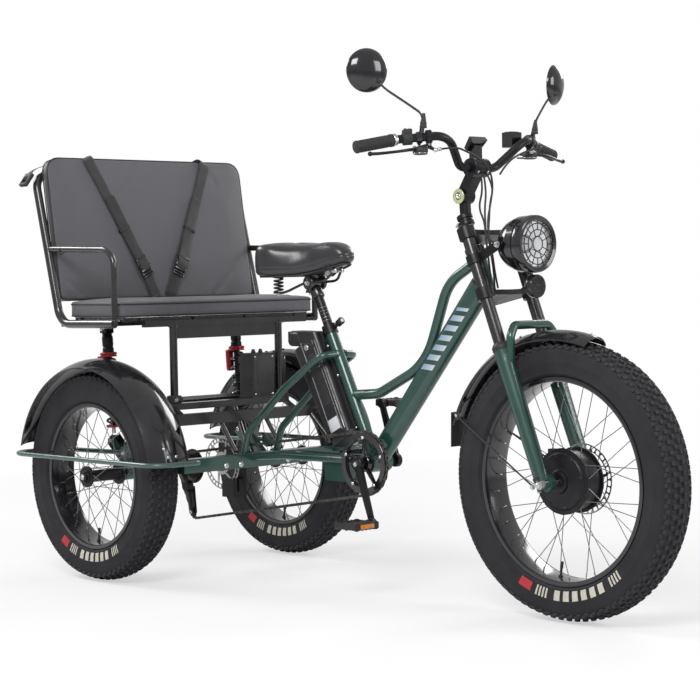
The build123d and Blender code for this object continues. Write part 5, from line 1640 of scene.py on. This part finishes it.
def makeGrip(side):
    grip = {"ribs": 13, "pitch": 0.0064}
    tip, neck = onSide(gripEnd, side), onSide(gripInner, side)
    along = (neck - tip).normalized()
    profile = mm((0, -4), (12, -4), (15, -2.8), (16.2, -0.8), (16.3, 3.5), (15, 4.8), (14.8, 7))
    for number in range(grip["ribs"]):
        level = 0.01 + number * grip["pitch"]
        profile += [(0.0148, level), (0.0158, level + 0.001), (0.0158, level + 0.0032),
            (0.0148, level + 0.0042)]
    profile += mm((15, 96), (16.3, 97.5), (16.5, 99), (16.5, 105), (15.5, 106.5), (11.2, 106.5))
    replacedNodes = ["grips"] if side < 0 else []
    finished(turned(sided("grip", side), profile, tip, along, 40), "steering", "softGrip", *replacedNodes)
    finished(turned(sided("gripCollar", side), mm((11.2, 106.8), (15.2, 106.8), (15.8, 107.6), (15.8, 115),
        (15, 116), (11.2, 116)), tip, along, 36), "steering", "brightSteel" if side < 0 else "blackAlloy",
        slot="bright_steel")


def makeLever(side):
    lever = {"clampAt": 0.6, "switchAt": 0.2}
    blacks, alloys, brights = [], [], []
    place, along = alongBar(side, lever["switchAt"])
    blacks += [turned("switchBody", mm((11.2, -12), (15.5, -12), (16.8, -10.5), (17, 10), (15.5, 12),
        (11.2, 12)), place, along, 36), inFrame(slab("switchPod", (-0.011, -0.012, 0.008),
        (0.012, 0.012, 0.024), 0.0035, 3), place, along.cross(upBy(1)).normalized(), along, upBy(1))]
    for offset, tone in ((-0.0052, "redAnodised"), (0.0052, "whiteLabel")):
        finished(turned(sided("switchButton", side) + ("In" if offset > 0 else "Out"),
            mm((0, 26.6), (3, 26.4), (3.8, 25.4), (4, 23.8), (0, 23.8)), place + along * offset, (0, 0, 1), 20),
            "steering", tone, slot="black_gloss_plastic")
    place, along = alongBar(side, lever["clampAt"])
    ahead = upBy(side).cross(along).normalized() * (-1 if side < 0 else 1)
    if ahead.x < 0:
        ahead = -ahead
    alloys += [turned("leverClamp", mm((11.2, -7.5), (16, -7.5), (17.2, -6.2), (17.2, 6.2), (16, 7.5),
        (11.2, 7.5)), place + along * 0.002, along, 36), bar("leverEars", place + along * 0.002 - upBy(0.013),
        place + along * 0.002 - upBy(0.025), along, 0.013, 0.013, 0.002)]
    brights.append(turned("clampBolt", mm((0, 2), (3, 2), (3.6, 1.2), (3.6, -1), (0, -1)),
        place + along * 0.002 - upBy(0.02) + ahead * 0.0066, ahead, 20))
    root = at(0.418, side * 0.22, 1.19)
    alloys.append(bar("leverBody", place - upBy(0.025) - along * 0.004, root, ahead, 0.02, 0.015, 0.004, 0.75))
    brights.append(turned("leverPivot", mm((0, 8.5), (5, 8.5), (6.2, 7.4), (6.2, -7.4), (5, -8.5), (0, -8.5)),
        root, (0, 0, 1), 24))
    blade = wire("leverBlade", [root, (0.429, side * 0.238, 1.1885), (0.4345, side * 0.262, 1.186),
        (0.43, side * 0.29, 1.182), (0.419, side * 0.32, 1.1785), (0.409, side * 0.348, 1.1755),
        (0.4045, side * 0.366, 1.175)], 0.0042, 3, False, [1.25, 1.15, 1.0, 0.9, 0.9, 1.0, 1.05])
    ball = turned("leverBall", mm((0, -6.2), (3, -5.5), (5.2, -3.4), (6.2, 0), (5.2, 3.4), (3, 5.5), (0, 6.2)),
        (0.4045, side * 0.366, 1.175), (0, side, 0), 20)
    alloys += [smoothed(blade, 60), ball]
    # shifter pod under the bar, its paddles towards the rider
    podPlace = place - upBy(0.034) - along * 0.02
    blacks.append(turned("shifterPod", mm((0, -10), (14, -10), (18, -8), (19.5, -5), (19.5, 4), (17, 9),
        (12, 11), (0, 11)), podPlace, (0, 0, 1), 40))
    brights.append(ring("shifterLine", podPlace - upBy(0.0062), (0, 0, 1), 0.019, 0.0007, 40, 6))
    for level, reach, swing in ((-0.007, 0.034, 0.25), (0.002, 0.027, -0.25)):
        tip = podPlace - ahead * reach + along * reach * swing + upBy(level)
        blacks.append(bar("paddle", podPlace - ahead * 0.012 + upBy(level), tip, along, 0.013, 0.0038, 0.0014,
            0.8))
    # barrel adjuster where the hose leaves
    exit, onwards = cordRoutes["rightHose" if side < 0 else "leftLoop"][:2]
    heading = (Vector(onwards) - Vector(exit)).normalized()
    brights.append(turned("barrel", mm((3, -16), (4.8, -16), (5.5, -15), (5.5, -9), (4.2, -8.2), (4.2, -3),
        (5, -2.4), (5, 3), (3.4, 4.4), (2.9, 4.4)), exit, heading, 24))
    barrelRoot = Vector(exit) - heading * 0.012
    alloys.append(bar("barrelArm", place - upBy(0.024), barrelRoot, (0, 0, 1), 0.011, 0.01, 0.003, 0.7))
    return blacks, alloys, brights


def makeControls():
    blacks, alloys, brights = [], [], []
    for side in (-1, 1):
        makeGrip(side)
        for group, made in zip((blacks, alloys, brights), makeLever(side)):
            group += made
    finished(joined("leverBodies", alloys), "steering", "blackAlloy", "brake_levers")
    finished(joined("switchBodies", blacks), "steering", "mattePlastic")
    finished(joined("leverFittings", brights), "steering", "brightSteel")


def makeDisplayDetails():
    # a blank glossy screen in its bezel, three buttons and the control unit's details
    up = at(0.66, 0, 0.75).normalized()
    facing = at(-0.75, 0, 0.66).normalized()
    middle = at(0.424, 0, 1.206) + facing * 0.013
    finished(bar("displayScreen", middle - up * 0.008, middle + up * 0.0125, (0, 1, 0), 0.042, 0.0016, 0.0008),
        "steering", "mirrorGlass")
    bezel = [bar("bezel", middle + up * a + leftBy(-w), middle + up * a + leftBy(w), up, 0.0022, 0.003, 0.0008)
        for a, w in ((-0.0098, 0.024), (0.0143, 0.022))]
    bezel += [turned("key", mm((0, 1.6), (2.4, 1.6), (3, 0.8), (3, -0.5), (0, -0.5)),
        middle - up * 0.0142 + leftBy(y), facing, 20) for y in (-0.012, 0, 0.012)]
    finished(joined("displayBezel", bezel), "steering", "mattePlastic")
    for side in (-1, 1):
        fasten(bolt, "steering", (0.4215, side * 0.0152, 1.184), (0, side, 0), 0.7)
    unit = slab("controlUnitLid", (0.396, 0.138, 1.245), (0.424, 0.168, 1.2478), 0.0012, 2)
    keys = [slab("key", (0.3905, y, 1.218), (0.393, y + 0.008, 1.226), 0.001, 2) for y in (0.139, 0.149, 0.159)]
    finished(joined("controlUnitFace", [unit] + keys), "steering", "mattePlastic")


def makeMirrors():
    mirror = {"middle": (0.392, -0.357, 1.383), "turn": -0.36, "clampAt": 0.43}
    parts, boots = [], []
    for side in (-1, 1):
        middle = onSide(mirror["middle"], side)
        facing = at(-0.93, side * mirror["turn"], 0.05).normalized()
        parts.append(turned("mirrorShell", mm((0, -16.3), (10, -16), (20, -14.8), (30, -12.4), (40, -8.2),
            (48, -3), (53, 2), (54.8, 6), (54.8, 8.5), (53.8, 9.4), (51.2, 9.4), (49.8, 8.4), (49.6, 6.2),
            (0, 6)), middle, facing, 72))
        place, along = alongBar(side, mirror["clampAt"])
        parts.append(turned("mirrorClamp", mm((11.2, -7), (14.2, -7), (15, -6), (15, 6), (14.2, 7), (11.2, 7)),
            place, along, 32))
        stubTop = at(0.44, side * 0.212, 1.262)
        parts.append(rod("mirrorStub", place + at(0.008, 0, 0.01), stubTop, 0.0062, 20, 0.0008))
        upward = (stubTop - place).normalized()
        boots.append(turned("mirrorBoot", mm((8.5, -14), (9.2, -12), (9.2, -7), (8, -5), (8.4, -3), (8.4, 1),
            (7, 3), (7.2, 6), (6, 9), (6, 12), (4.4, 18), (3.4, 24)), stubTop - upBy(0.006),
            upward * 0.3 + upBy(1), 28))
        edge = at(0.398, side * 0.316, 1.344)
        inside = edge * 0.55 + middle * 0.45 - facing * 0.009
        stalk = wire("mirrorStalk", [(0.44, side * 0.212, 1.252), (0.4398, side * 0.2145, 1.268),
            (0.4385, side * 0.22, 1.28), (0.433, side * 0.233, 1.2895), (0.418, side * 0.268, 1.313), edge,
            inside], 0.0031)
        parts.append(smoothed(stalk, 60))
        boots.append(turned("mirrorJoint", mm((0, -8.5), (5, -7.5), (7.8, -4), (8.5, 0), (7.8, 4), (5, 7.5),
            (0, 8.5)), edge * 0.62 + middle * 0.38 - facing * 0.0125, (inside - edge), 24))
        fasten(nut, "steering", place - upBy(0.0146), (0, 0, -1), 0.65, 0.0, "blackAlloy")
    finished(joined("mirrorShells", parts), "steering", "glossPlastic", "mirrors")
    finished(joined("mirrorBoots", boots), "steering", "mattePlastic")


def makeStemDetails():
    pivot = at(0.379, 0, 1.076)
    finished(turned("pivotRing", mm((10, 0), (18.8, 0), (19.6, 0.8), (19.6, 3), (18, 4.4), (11.2, 4.4),
        (10, 3.4), (10, 0)), pivot + leftBy(-0.021), (0, -1, 0), 48), "steering", "paleRing")
    for side in (-1, 1):
        fasten(bolt, "steering", pivot + leftBy(side * 0.0222), (0, side, 0), 1.7, 0.3)
        for angle in (50, -50):
            fasten(bolt, "steering", barCentre + onCircle(angle + 20, 0.0228, side * 0.018),
                onCircle(angle + 20), 0.9, 0.1)
    finished(turned("stemFaceplate", mm((23.2, -30), (24.5, -29), (24.5, -10), (23.5, -9), (23.5, 9),
        (24.5, 10), (24.5, 29), (23.2, 30)), barCentre, (0, 1, 0), 48), "steering", "blackAlloy")
    quill = [turned("stemRing", mm((15, 0), (20, 0), (21.2, 1.2), (21.2, 10), (19.5, 12), (15, 12)),
        onFork(0, 0, level), steeringUp, 40) for level in (0.694, 0.712)]
    quill.append(bar("quillLug", onFork(-0.018, 0, 0.702), onFork(-0.03, 0, 0.702), (0, 1, 0), 0.016, 0.018,
        0.003))
    finished(joined("stemRings", quill), "steering", "blackAlloy")
    fasten(nut, "steering", onFork(-0.024, -0.0085, 0.702), (0, -1, 0), 0.7)


# Cables and hoses: each is a cord from its exit to where it goes in again

cordRoutes = {
    "leadToDisplay": [(0.446, 0.012, 1.134), (0.463, 0.022, 1.1), (0.446, 0.024, 1.056), (0.462, 0.004, 1.016),
                      (0.485, -0.026, 0.976), (0.497, -0.03, 0.924), (0.498, -0.02, 0.876), (0.494, -0.014,
                          0.833)],
    "leadToLamp": [(0.444, -0.006, 1.126), (0.449, -0.004, 1.092), (0.434, -0.007, 1.045), (0.47, -0.022,
        1.006),
                   (0.49, -0.042, 0.964), (0.51, -0.022, 0.949)],
    "leadToHead": [(0.446, 0.002, 1.13), (0.457, 0.0, 1.09), (0.457, -0.008, 1.04), (0.474, -0.024, 0.998),
                   (0.492, -0.042, 0.96), (0.498, -0.04, 0.91), (0.493, -0.028, 0.866), (0.488, -0.022, 0.829)],
    "rightHose": [(0.452, -0.166, 1.19), (0.478, -0.134, 1.196), (0.478, -0.092, 1.184), (0.47, -0.042, 1.172),
                  (0.47, -0.002, 1.146), (0.468, 0.014, 1.104), (0.464, 0.008, 1.056), (0.47, -0.012, 1.01),
                  (0.496, -0.036, 0.968), (0.507, -0.034, 0.92), (0.503, -0.022, 0.874), (0.5, -0.008, 0.836)],
    "leftLoop": [(0.459, 0.186, 1.1965), (0.496, 0.182, 1.204), (0.508, 0.146, 1.2), (0.49, 0.1, 1.186),
                 (0.474, 0.062, 1.162), (0.468, 0.04, 1.13)],
}


def cordLength(piece):
    # the line's own length, measured on a copy with no thickness
    line = piece.data.copy()
    line.bevel_depth = 0
    probe = newObject("probe", line)
    bpy.context.view_layer.update()
    mesh = bpy.data.meshes.new_from_object(probe)
    length = sum((mesh.vertices[edge.vertices[0]].co - mesh.vertices[edge.vertices[1]].co).length
        for edge in mesh.edges)
    removed(probe)
    return length


for cordNumber, (cordName, points) in enumerate(cordRoutes.items()):
    cord = route(cordName, points, 0.0026)
    cord.data.materials.append(finishes["mattePlastic"])
    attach(cord, "steering")
    if cordNumber == 0:
        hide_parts("cables")
    measured = cordLength(cord)
    print(cordName, round(measured, 3), "m")

makeControls()
makeDisplayDetails()
makeMirrors()
makeStemDetails()
print("handlebar and cords made")


# Drive: chainring, cranks, pedals, chain, cassette and derailleur

drive = {"bracket": at(0.036, 0, 0.36), "rear": at(-0.736, 0, 0.305), "lower": at(-0.696, 0, 0.172),
         "chainY": -0.048, "crankAngle": 295, "crankLength": 0.17, "pitch": 0.0127}


def sprocket(name, place, radius, teeth, thickness, hole, toothLength=0.0042):
    parts = [turned("disc", [(hole, -thickness / 2), (radius - toothLength * 0.8, -thickness / 2),
        (radius - toothLength * 0.8, thickness / 2), (hole, thickness / 2), (hole, -thickness / 2)], steps=48)]
    tooth = bar("tooth", (radius - toothLength, 0, 0), (radius, 0, 0), (0, 1, 0),
        2 * pi * radius / teeth * 0.62, thickness * 0.9, 0.0002, 0.45)
    parts.append(arrayed(tooth, teeth, "Z"))
    made = standUp(joined(name, parts), place)
    return smoothed(made, 30)


def makeChainring():
    ring44 = {"teeth": 44, "radius": 0.0835, "guard": (0.069, 0.0855), "arms": 5}
    place = drive["bracket"] + leftBy(drive["chainY"])
    finished(sprocket("chainringTeeth", place, ring44["radius"], ring44["teeth"], 0.003, 0.07), "crank",
        "chainSteel", "chainring")
    blacks = []
    low, high = ring44["guard"]
    for offset in (-0.0062, 0.0046):
        blacks.append(standUp(turned("guard", [(low, -0.001), (high - 0.001, -0.001), (high, 0),
            (high - 0.001, 0.001), (low, 0.001), (low, -0.001)], steps=96), place + leftBy(offset)))
    for number in range(ring44["arms"]):
        outwards = onCircle(number * 72 + 18)
        blacks += [bar("spiderArm", place + outwards * 0.016, place + outwards * 0.0725,
            (-outwards.z, 0, outwards.x), 0.018, 0.0055, 0.0016, 0.66), bar("armRib",
            place + outwards * 0.02 - leftBy(0.003), place + outwards * 0.064 - leftBy(0.003),
            (-outwards.z, 0, outwards.x), 0.006, 0.0034, 0.0012, 0.7)]
        fasten(bolt, "crank", place + outwards * 0.0705 - leftBy(0.007), (0, -1, 0), 1.0, 0.2)
    hub = turned("spiderHub", mm((8.2, -7), (22.5, -7), (24, -5.5), (24, 5.5), (22.5, 7), (8.2, 7)), place,
        (0, 1, 0), 48)
    finished(joined("chainringGuard", blacks + [hub]), "crank", "glossPlastic", slot="black_alloy")


def crankTip(side, reach):
    return drive["bracket"] + onCircle(drive["crankAngle"] if side < 0 else drive["crankAngle"] - 180, reach)


def makeCranks():
    arms = []
    for side in (-1, 1):
        root = drive["bracket"] + leftBy(side * 0.0735)
        tip = crankTip(side, drive["crankLength"]) + leftBy(side * 0.092)
        across = (tip - root).cross(leftBy(1)).normalized()
        arms += [bar("crankArm", root, tip, across, 0.027, 0.0135, 0.0038, 0.72),
            turned("crankHub", mm((7.8, -8), (17, -8), (19, -6), (19, 6), (17.2, 8), (12.5, 8), (11.5, 7),
            (7.8, 7)), root, (0, side, 0), 40), turned("crankEye", mm((0, -6.8), (11.8, -6.8), (13.6, -5),
            (13.6, 5), (11.8, 6.8), (0, 6.8)), tip, (0, side, 0), 32)]
        fasten(nut, "crank", root + leftBy(side * 0.005), (0, side, 0), 1.05, 0.2)
    arms.append(rod("spindle", drive["bracket"] - leftBy(0.078), drive["bracket"] + leftBy(0.078), 0.0078, 24))
    finished(joined("crankArmsShaped", arms), "crank", "blackAlloy", "crank_arms")
    for side in (-1, 1):
        finished(turned(sided("bracketCup", side), mm((9, 25), (22.5, 25), (23.5, 26.2), (23.5, 35),
            (21.5, 37.5), (9, 37.5)), drive["bracket"], (0, side, 0), 20), "frame", "blackAlloy")


def makePedal(side, body, node):
    pedal = {"long": 0.041, "near": 0.1055, "far": 0.1945}
    tip = crankTip(side, drive["crankLength"])
    blacks, ambers = [], []
    near, far = side * pedal["near"], side * pedal["far"]
    for way in (-1, 1):
        x = way * (pedal["long"] - 0.0045)
        blacks.append(bar("rail", tip + at(x, near, 0), tip + at(x, far, 0), (0, 0, 1), 0.019, 0.0085, 0.0026))
        for share in (0.1, 0.9):
            y = near + (far - near) * share
            blacks.append(bar("tread", tip + at(x, y - 0.004, 0), tip + at(x, y + 0.004, 0), (0, 0, 1), 0.022,
                0.008, 0.0012))
        ambers.append(bar("reflector", tip + at(way * (pedal["long"] + 0.0004), near + (far - near) * 0.22, 0),
            tip + at(way * (pedal["long"] + 0.0004), near + (far - near) * 0.78, 0), (0, 0, 1), 0.0125, 0.0026,
            0.001))
        stud = turned("stud", mm((0, 11.2), (1.2, 11), (1.6, 10.2), (1.6, 6)), steps=10)
        for share in (0.18, 0.34, 0.5, 0.66, 0.82):
            for level in (1, -1):
                blacks.append(copied(stud, "stud", tip + at(x, near + (far - near) * share, 0), (0, 0, level)))
        removed(stud)
    for y in (near + side * 0.003, far - side * 0.003):
        blacks.append(bar("endBar", tip + at(-0.037, y, 0), tip + at(0.037, y, 0), (0, 0, 1), 0.017, 0.006,
            0.002))
    blacks.append(turned("pedalBarrel", mm((7, 0), (10.5, 0), (11.8, 2), (10, 12), (9.2, 40), (10, 74),
        (11.2, 84), (9, 88), (0, 88.5)), tip + leftBy(near), (0, side, 0), 28))
    for x in (-0.024, 0.024):
        blacks += [bar("rib", tip + at(x * 0.42, near + side * 0.03, 0),
            tip + at(x * 1.4, near + side * 0.03, 0), (0, 0, 1), 0.012, 0.005, 0.0014),
            bar("rib", tip + at(x * 0.42, far - side * 0.03, 0), tip + at(x * 1.4, far - side * 0.03, 0),
            (0, 0, 1), 0.012, 0.005, 0.0014)]
    blacks.append(rod("pedalSpindle", tip + leftBy(side * 0.0992), tip + leftBy(near + side * 0.002), 0.0066,
        20, 0.0004))
    name = sided("pedal", side)
    finished(joined(name + "Cage", blacks), body, "mattePlastic", node)
    finished(joined(name + "Reflectors", ambers), body, "amberReflector")


def chainPath():
    # the closed line round the ring, the cassette and the lower pulley, as evenly spaced places and their
    # spacing
    circles = [(drive["bracket"], 0.0865), (drive["rear"], 0.0415), (drive["lower"], 0.0195)]
    normals = []
    for (first, firstRadius), (second, secondRadius) in zip(circles, circles[1:] + circles[:1]):
        away = second - first
        slope = (firstRadius - secondRadius) / away.length
        heading = away.normalized()
        outside = at(heading.z, 0, -heading.x)
        normals.append(heading * slope + outside * sqrt(1 - slope * slope))
    places = []
    for number, (centre, radius) in enumerate(circles):
        start = atan2(normals[number - 1].z, normals[number - 1].x)
        end = atan2(normals[number].z, normals[number].x)
        while end < start:
            end += 2 * pi
        count = max(3, int((end - start) * radius / 0.003))
        for step in range(count + 1):
            around = start + (end - start) * step / count
            places.append(centre + at(radius * cos(around), 0, radius * sin(around)))
    total = sum((b - a).length for a, b in zip(places, places[1:] + places[:1]))
    links = int(total / drive["pitch"] / 2) * 2
    pitch = total / links
    spots, gone, target = [], 0.0, 0.0
    for a, b in zip(places, places[1:] + places[:1]):
        length = (b - a).length
        while target <= gone + length + 1e-9 and len(spots) < links:
            spots.append(a + (b - a) * ((target - gone) / length if length else 0))
            target += pitch
        gone += length
    return spots, pitch


def makeChain():
    spots, pitch = chainPath()

    def plate(offset, length, height):
        # a waisted side plate from pin to pin
        bpy.ops.mesh.primitive_cylinder_add(vertices=10, radius=height / 2, depth=0.001, location=(0, 0, 0))
        piece = bpy.context.object
        for point in piece.data.vertices:
            point.co.x += copysign(length / 2, point.co.x) if abs(point.co.x) > 0.0004 else 0
        piece.data.transform(Matrix.Translation((0, 0, offset)))
        return piece

    links = []
    for kind, offset, height in (("inner", 0.0021, 0.0078), ("outer", 0.0033, 0.0084)):
        parts = [plate(offset, pitch, height), plate(-offset, pitch, height)]
        bpy.ops.mesh.primitive_cylinder_add(vertices=10, radius=0.0038, depth=0.0036,
            location=(-pitch / 2, 0, 0))
        parts.append(bpy.context.object)
        bpy.ops.mesh.primitive_cylinder_add(vertices=8, radius=0.0018, depth=0.0082, location=(pitch / 2, 0, 0))
        parts.append(bpy.context.object)
        links.append(joined("link", parts))
    made = []
    for number, (start, end) in enumerate(zip(spots, spots[1:] + spots[:1])):
        along = (end - start).normalized()
        up = leftBy(1).cross(along)
        piece = newObject("link", links[number % 2].data.copy())
        made.append(inFrame(piece, (start + end) / 2 + leftBy(drive["chainY"]), along, up, along.cross(up)))
    removed(*links)
    finished(smoothed(joined("chainLinks", made), 30), "frame", "chainSteel", "chain")


def makeCassette():
    parts = []
    for number in range(7):
        radius = 0.046 - number * 0.003
        level = drive["chainY"] + 0.0165 - number * 0.005
        parts.append(sprocket("sprocket", drive["rear"] + leftBy(level), radius, 28 - number * 2, 0.002, 0.02,
            0.0034))
    spacer = turned("spacer", mm((8.8, -18), (19, -18), (20.5, -16), (20.5, 18), (19, 20), (8.8, 20),
        (8.8, -18)), drive["rear"] + leftBy(drive["chainY"]), (0, 1, 0), 32)
    disc = turned("spokeGuard", mm((21, 0), (50, 0), (52, 0.8), (52, 1.6), (21, 1.2), (21, 0)),
        drive["rear"] + leftBy(drive["chainY"] + 0.0215), (0, 1, 0), 48)
    finished(joined("cassetteTeeth", parts + [spacer]), "frame", "chainSteel", "cassette")
    finished(disc, "frame", "blackAlloy")


def makeDerailleur():
    upper = drive["rear"] + at(0.026, drive["chainY"] - 0.015, -0.059)
    lower = at(drive["lower"].x, drive["chainY"] - 0.0125, drive["lower"].z)
    blacks = []
    for offset in (-0.007, 0.007):
        blacks.append(bar("cagePlate", upper + at(0.004, offset + 0.002, 0.002), lower + at(0, offset, -0.004),
            (1, 0, 0), 0.024, 0.0018, 0.0006, 0.8))
    for place, radius in ((at(upper.x, drive["chainY"] - 0.0125, upper.z), 0.0165), (lower, 0.0165)):
        blacks.append(sprocket("pulley", place, radius, 11, 0.0044, 0.004, 0.004))
        for side in (-1, 1):
            fasten(bolt, "frame", place + leftBy(side * 0.0082), (0, side, 0), 0.9)
    blacks += [turned("knuckle", mm((0, -11), (15, -11), (17, -9), (17, 8), (14, 11), (0, 11)),
        upper + at(0, -0.005, 0.004), (0, 1, 0), 36), bar("parallelogram", upper + at(0.0, -0.006, 0.006),
        drive["rear"] + at(0.006, drive["chainY"] - 0.026, -0.009), (1, 0, 0), 0.02, 0.012, 0.003, 0.9),
        bar("linkPlate", upper + at(0.006, -0.014, 0.01), drive["rear"] + at(0.012, drive["chainY"] - 0.036,
        -0.012), (1, 0, 0), 0.014, 0.003, 0.001, 0.85)]
    finished(joined("derailleurBody", blacks), "frame", "blackAlloy", "derailleur")
    fasten(nut, "frame", drive["rear"] + at(0.006, drive["chainY"] - 0.033, -0.009), (0, -1, 0), 0.9)


def makeCaliperDetails():
    for z in (0.392, 0.412):
        fasten(bolt, "steering", (0.613, 0.056, z), (-1, 0, 0), 0.9)
    fasten(nut, "steering", (0.638, 0.0662, 0.4), (0, 1, 0), 1.0)
    for z in (0.238, 0.31):
        fasten(bolt, "frame", (-0.679, 0.1225, z), (0, 1, 0), 1.0)
    fasten(nut, "frame", (-0.689, 0.1085, 0.24), (0, 1, 0), 0.9)


makeChainring()
makeCranks()
makePedal(-1, "pedal_right", "pedal_right")
makePedal(1, "pedal_left", "pedal_left")
makeChain()
makeCassette()
makeDerailleur()
makeCaliperDetails()
print("drive made")


# Fenders: crowned shells with rolled edges, their stays and bolts

def fenderShell(name, centre, radius, halfWidth, drop, first, last, steps, wall=0.002):
    # the section is a shallow arch with its edges rolled under
    profile = []
    count = 12
    for number in range(count + 1):
        share = -1 + 2 * number / count
        profile.append((radius - drop * share * share, share * halfWidth))
    edge = radius - drop
    lips = [(edge - 0.003, halfWidth + 0.0004), (edge - 0.0048, halfWidth - 0.0014),
        (edge - 0.003, halfWidth - 0.003)]
    inner = [(r - wall, y * (1 - 0.002 / halfWidth)) for r, y in reversed(profile)]
    section = profile + lips + inner + [(r, -y) for r, y in reversed(lips)] + [profile[0]]
    shell = turned(name, section, (0, 0, 0), (0, 0, 1), steps, last - first)
    outwards = onCircle(last - 180)    # the spin runs backwards from the far side
    onwards = at(-outwards.z, 0, outwards.x)
    inFrame(shell, centre, outwards, onwards, outwards.cross(onwards))
    # the two open ends are closed
    pick(shell)
    bpy.ops.object.mode_set(mode="EDIT")
    bpy.ops.mesh.select_mode(type="EDGE")
    bpy.ops.mesh.select_all(action="DESELECT")
    bpy.ops.mesh.select_non_manifold(extend=False)
    bpy.ops.mesh.fill_holes(sides=0)
    bpy.ops.mesh.select_all(action="SELECT")
    bpy.ops.mesh.normals_make_consistent(inside=False)
    objectMode()
    return smoothed(shell, 40)


def onArc(centre, radius, angle, y):
    return at(centre.x, 0, centre.z) + onCircle(angle, radius, y)


def makeFenders():
    front = {"centre": at(0.69, 0, 0.372), "radius": 0.358, "halfWidth": 0.051, "drop": 0.022, "first": 69,
        "last": 161, "nose": 100, "stayAt": 156}
    rear = {"centre": at(-0.736, 0.365, 0.305), "radius": 0.34, "halfWidth": 0.072, "drop": 0.024, "first": 8,
        "last": 166}
    shell = fenderShell("frontFender", front["centre"], front["radius"], front["halfWidth"], front["drop"],
        front["first"], front["last"], 60)
    for point in shell.data.vertices:
        # the nose runs straighter than the tyre
        out = at(point.co.x, 0, point.co.z) - front["centre"]
        ahead = front["nose"] - degrees(atan2(out.z, out.x))
        if ahead > 0:
            point.co += out.normalized() * 0.0000085 * ahead ** 2
            point.co.y *= 1 - 0.006 * ahead
    stays = []
    for side in (-1, 1):
        lug = at(0.685, side * 0.09, 0.3415)
        edge = onArc(front["centre"], front["radius"] - front["drop"], front["stayAt"], side * 0.0515)
        along = (edge - lug).normalized()
        stays += [wire("stay", [lug, lug + (edge - lug) * 0.06, lug + (edge - lug) * 0.94, edge], 0.0026),
            bar("stayTab", edge - along * 0.016, edge + along * 0.006, (1, 0, 1), 0.012, 0.0022, 0.0008)]
        fasten(bolt, "steering", edge + leftBy(side * 0.002) - along * 0.006, (0, side, 0), 0.8)
        fasten(nut, "steering", lug + leftBy(side * 0.003), (0, side, 0), 0.8)
    finished(joined("frontFenderShell", [shell]), "steering", "glossPlastic", "front_fender")
    finished(joined("frontFenderStays", stays), "steering", "blackTube")
    # flap at the fender's tail, its two bolts, and the nose bolt
    tail = onArc(front["centre"], front["radius"], front["last"] - 2.0, 0)
    downwards = at(-0.06, 0, -1).normalized()
    finished(bar("frontFlap", tail + at(0.001, 0, 0.012), tail + downwards * 0.08, (0, 1, 0), 0.078, 0.003,
        0.0012, 0.9), "steering", "mattePlastic")
    for y in (-0.028, 0.028):
        fasten(bolt, "steering", tail + at(-0.0016, y, 0.002), (-1, 0, 0), 0.9)
    nose = onArc(front["centre"], front["radius"] + 0.0062, front["first"] + 3, 0)
    fasten(bolt, "steering", nose, onCircle(73), 1.1)
    for y in (-0.02, 0.02):
        arch = onArc(front["centre"], front["radius"] - 0.003, 107, y)
        fasten(bolt, "steering", arch, onCircle(107), 0.9)
    rears, skirts = [], []
    for side in (-1, 1):
        centre = at(rear["centre"].x, side * rear["centre"].y, rear["centre"].z)
        rears.append(fenderShell("rearFender", centre, rear["radius"], rear["halfWidth"], rear["drop"],
            rear["first"], rear["last"], 84))
        # bolt group on the face of the front lower end, and the brackets to the platform
        for angle, aside in ((16.4, 0.0255), (12.2, 0.017), (12.2, -0.011)):
            reach = rear["radius"] - rear["drop"] * (aside / rear["halfWidth"]) ** 2
            fasten(bolt, "frame", onArc(centre, reach, angle, centre.y + side * aside),
                onCircle(angle, 1, side * aside * 4), 0.9)
        skirts.append(bar("fenderBracket", onArc(centre, 0.334, 24, centre.y - side * 0.05),
            (-0.531, side * 0.262, 0.474), (0, 0, 1), 0.02, 0.004, 0.0015))
        for angle in (52, 90, 128):
            crown = onArc(centre, rear["radius"] - 0.0006, angle, centre.y - side * 0.018)
            fasten(bolt, "frame", crown, onCircle(angle), 0.8, 0.0, "blackAlloy")
    finished(joined("rearFenderShells", rears), "frame", "glossPlastic", "rear_fenders")
    finished(joined("rearFenderBrackets", skirts), "frame", "blackTube")


makeFenders()


# Rear frame details: beam bolts, axle caps and welds

def makeRearDetails():
    blacks, beads = [], []
    for y in (-0.146, -0.091, 0.091, 0.146):
        fasten(bolt, "frame", (-0.4348, y, 0.333), (1, 0, 0), 1.7, 0.3)
    for side in (-1, 1):
        # bell-shaped rubber caps over the ends of the axle
        blacks.append(turned("axleBell", mm((9.2, 0), (17, 0), (19, 2), (18.6, 8), (15, 13), (14, 20), (11, 24),
            (9.2, 24)), (-0.736, side * 0.302, 0.305), (0, side, 0), 36))
        beads.append(weldBead("hingeWeld", (-0.732, side * 0.267, 0.364), (0, 1, 0), 0.019))
        fasten(nut, "frame", (-0.732, side * 0.2852, 0.364), (0, side, 0), 1.1)
        for x, z in ((-0.156, 0.63), (-0.106, 0.655)):
            beads.append(weldBead("stayWeld", (x, side * 0.04 if x < -0.12 else side * 0.017, z),
                (0.4, side, 0.2), 0.0112))
    finished(joined("axleBells", blacks), "frame", "mattePlastic")
    finished(joined("frameWelds", beads), "frame", "frameGreen")


makeRearDetails()
print("fenders and rear details made")


# Every fastener of one body and tone becomes one piece
for (body, tone), pieces in fasteners.items():
    name = body + "Fasteners" + tone[0].upper() + tone[1:]
    slotFor = {"brightSteel": "bright_steel"}.get(tone, "black_alloy")
    finished(joined(name, pieces), body, tone, slot=slotFor)
removed(bolt)
removed(nut)
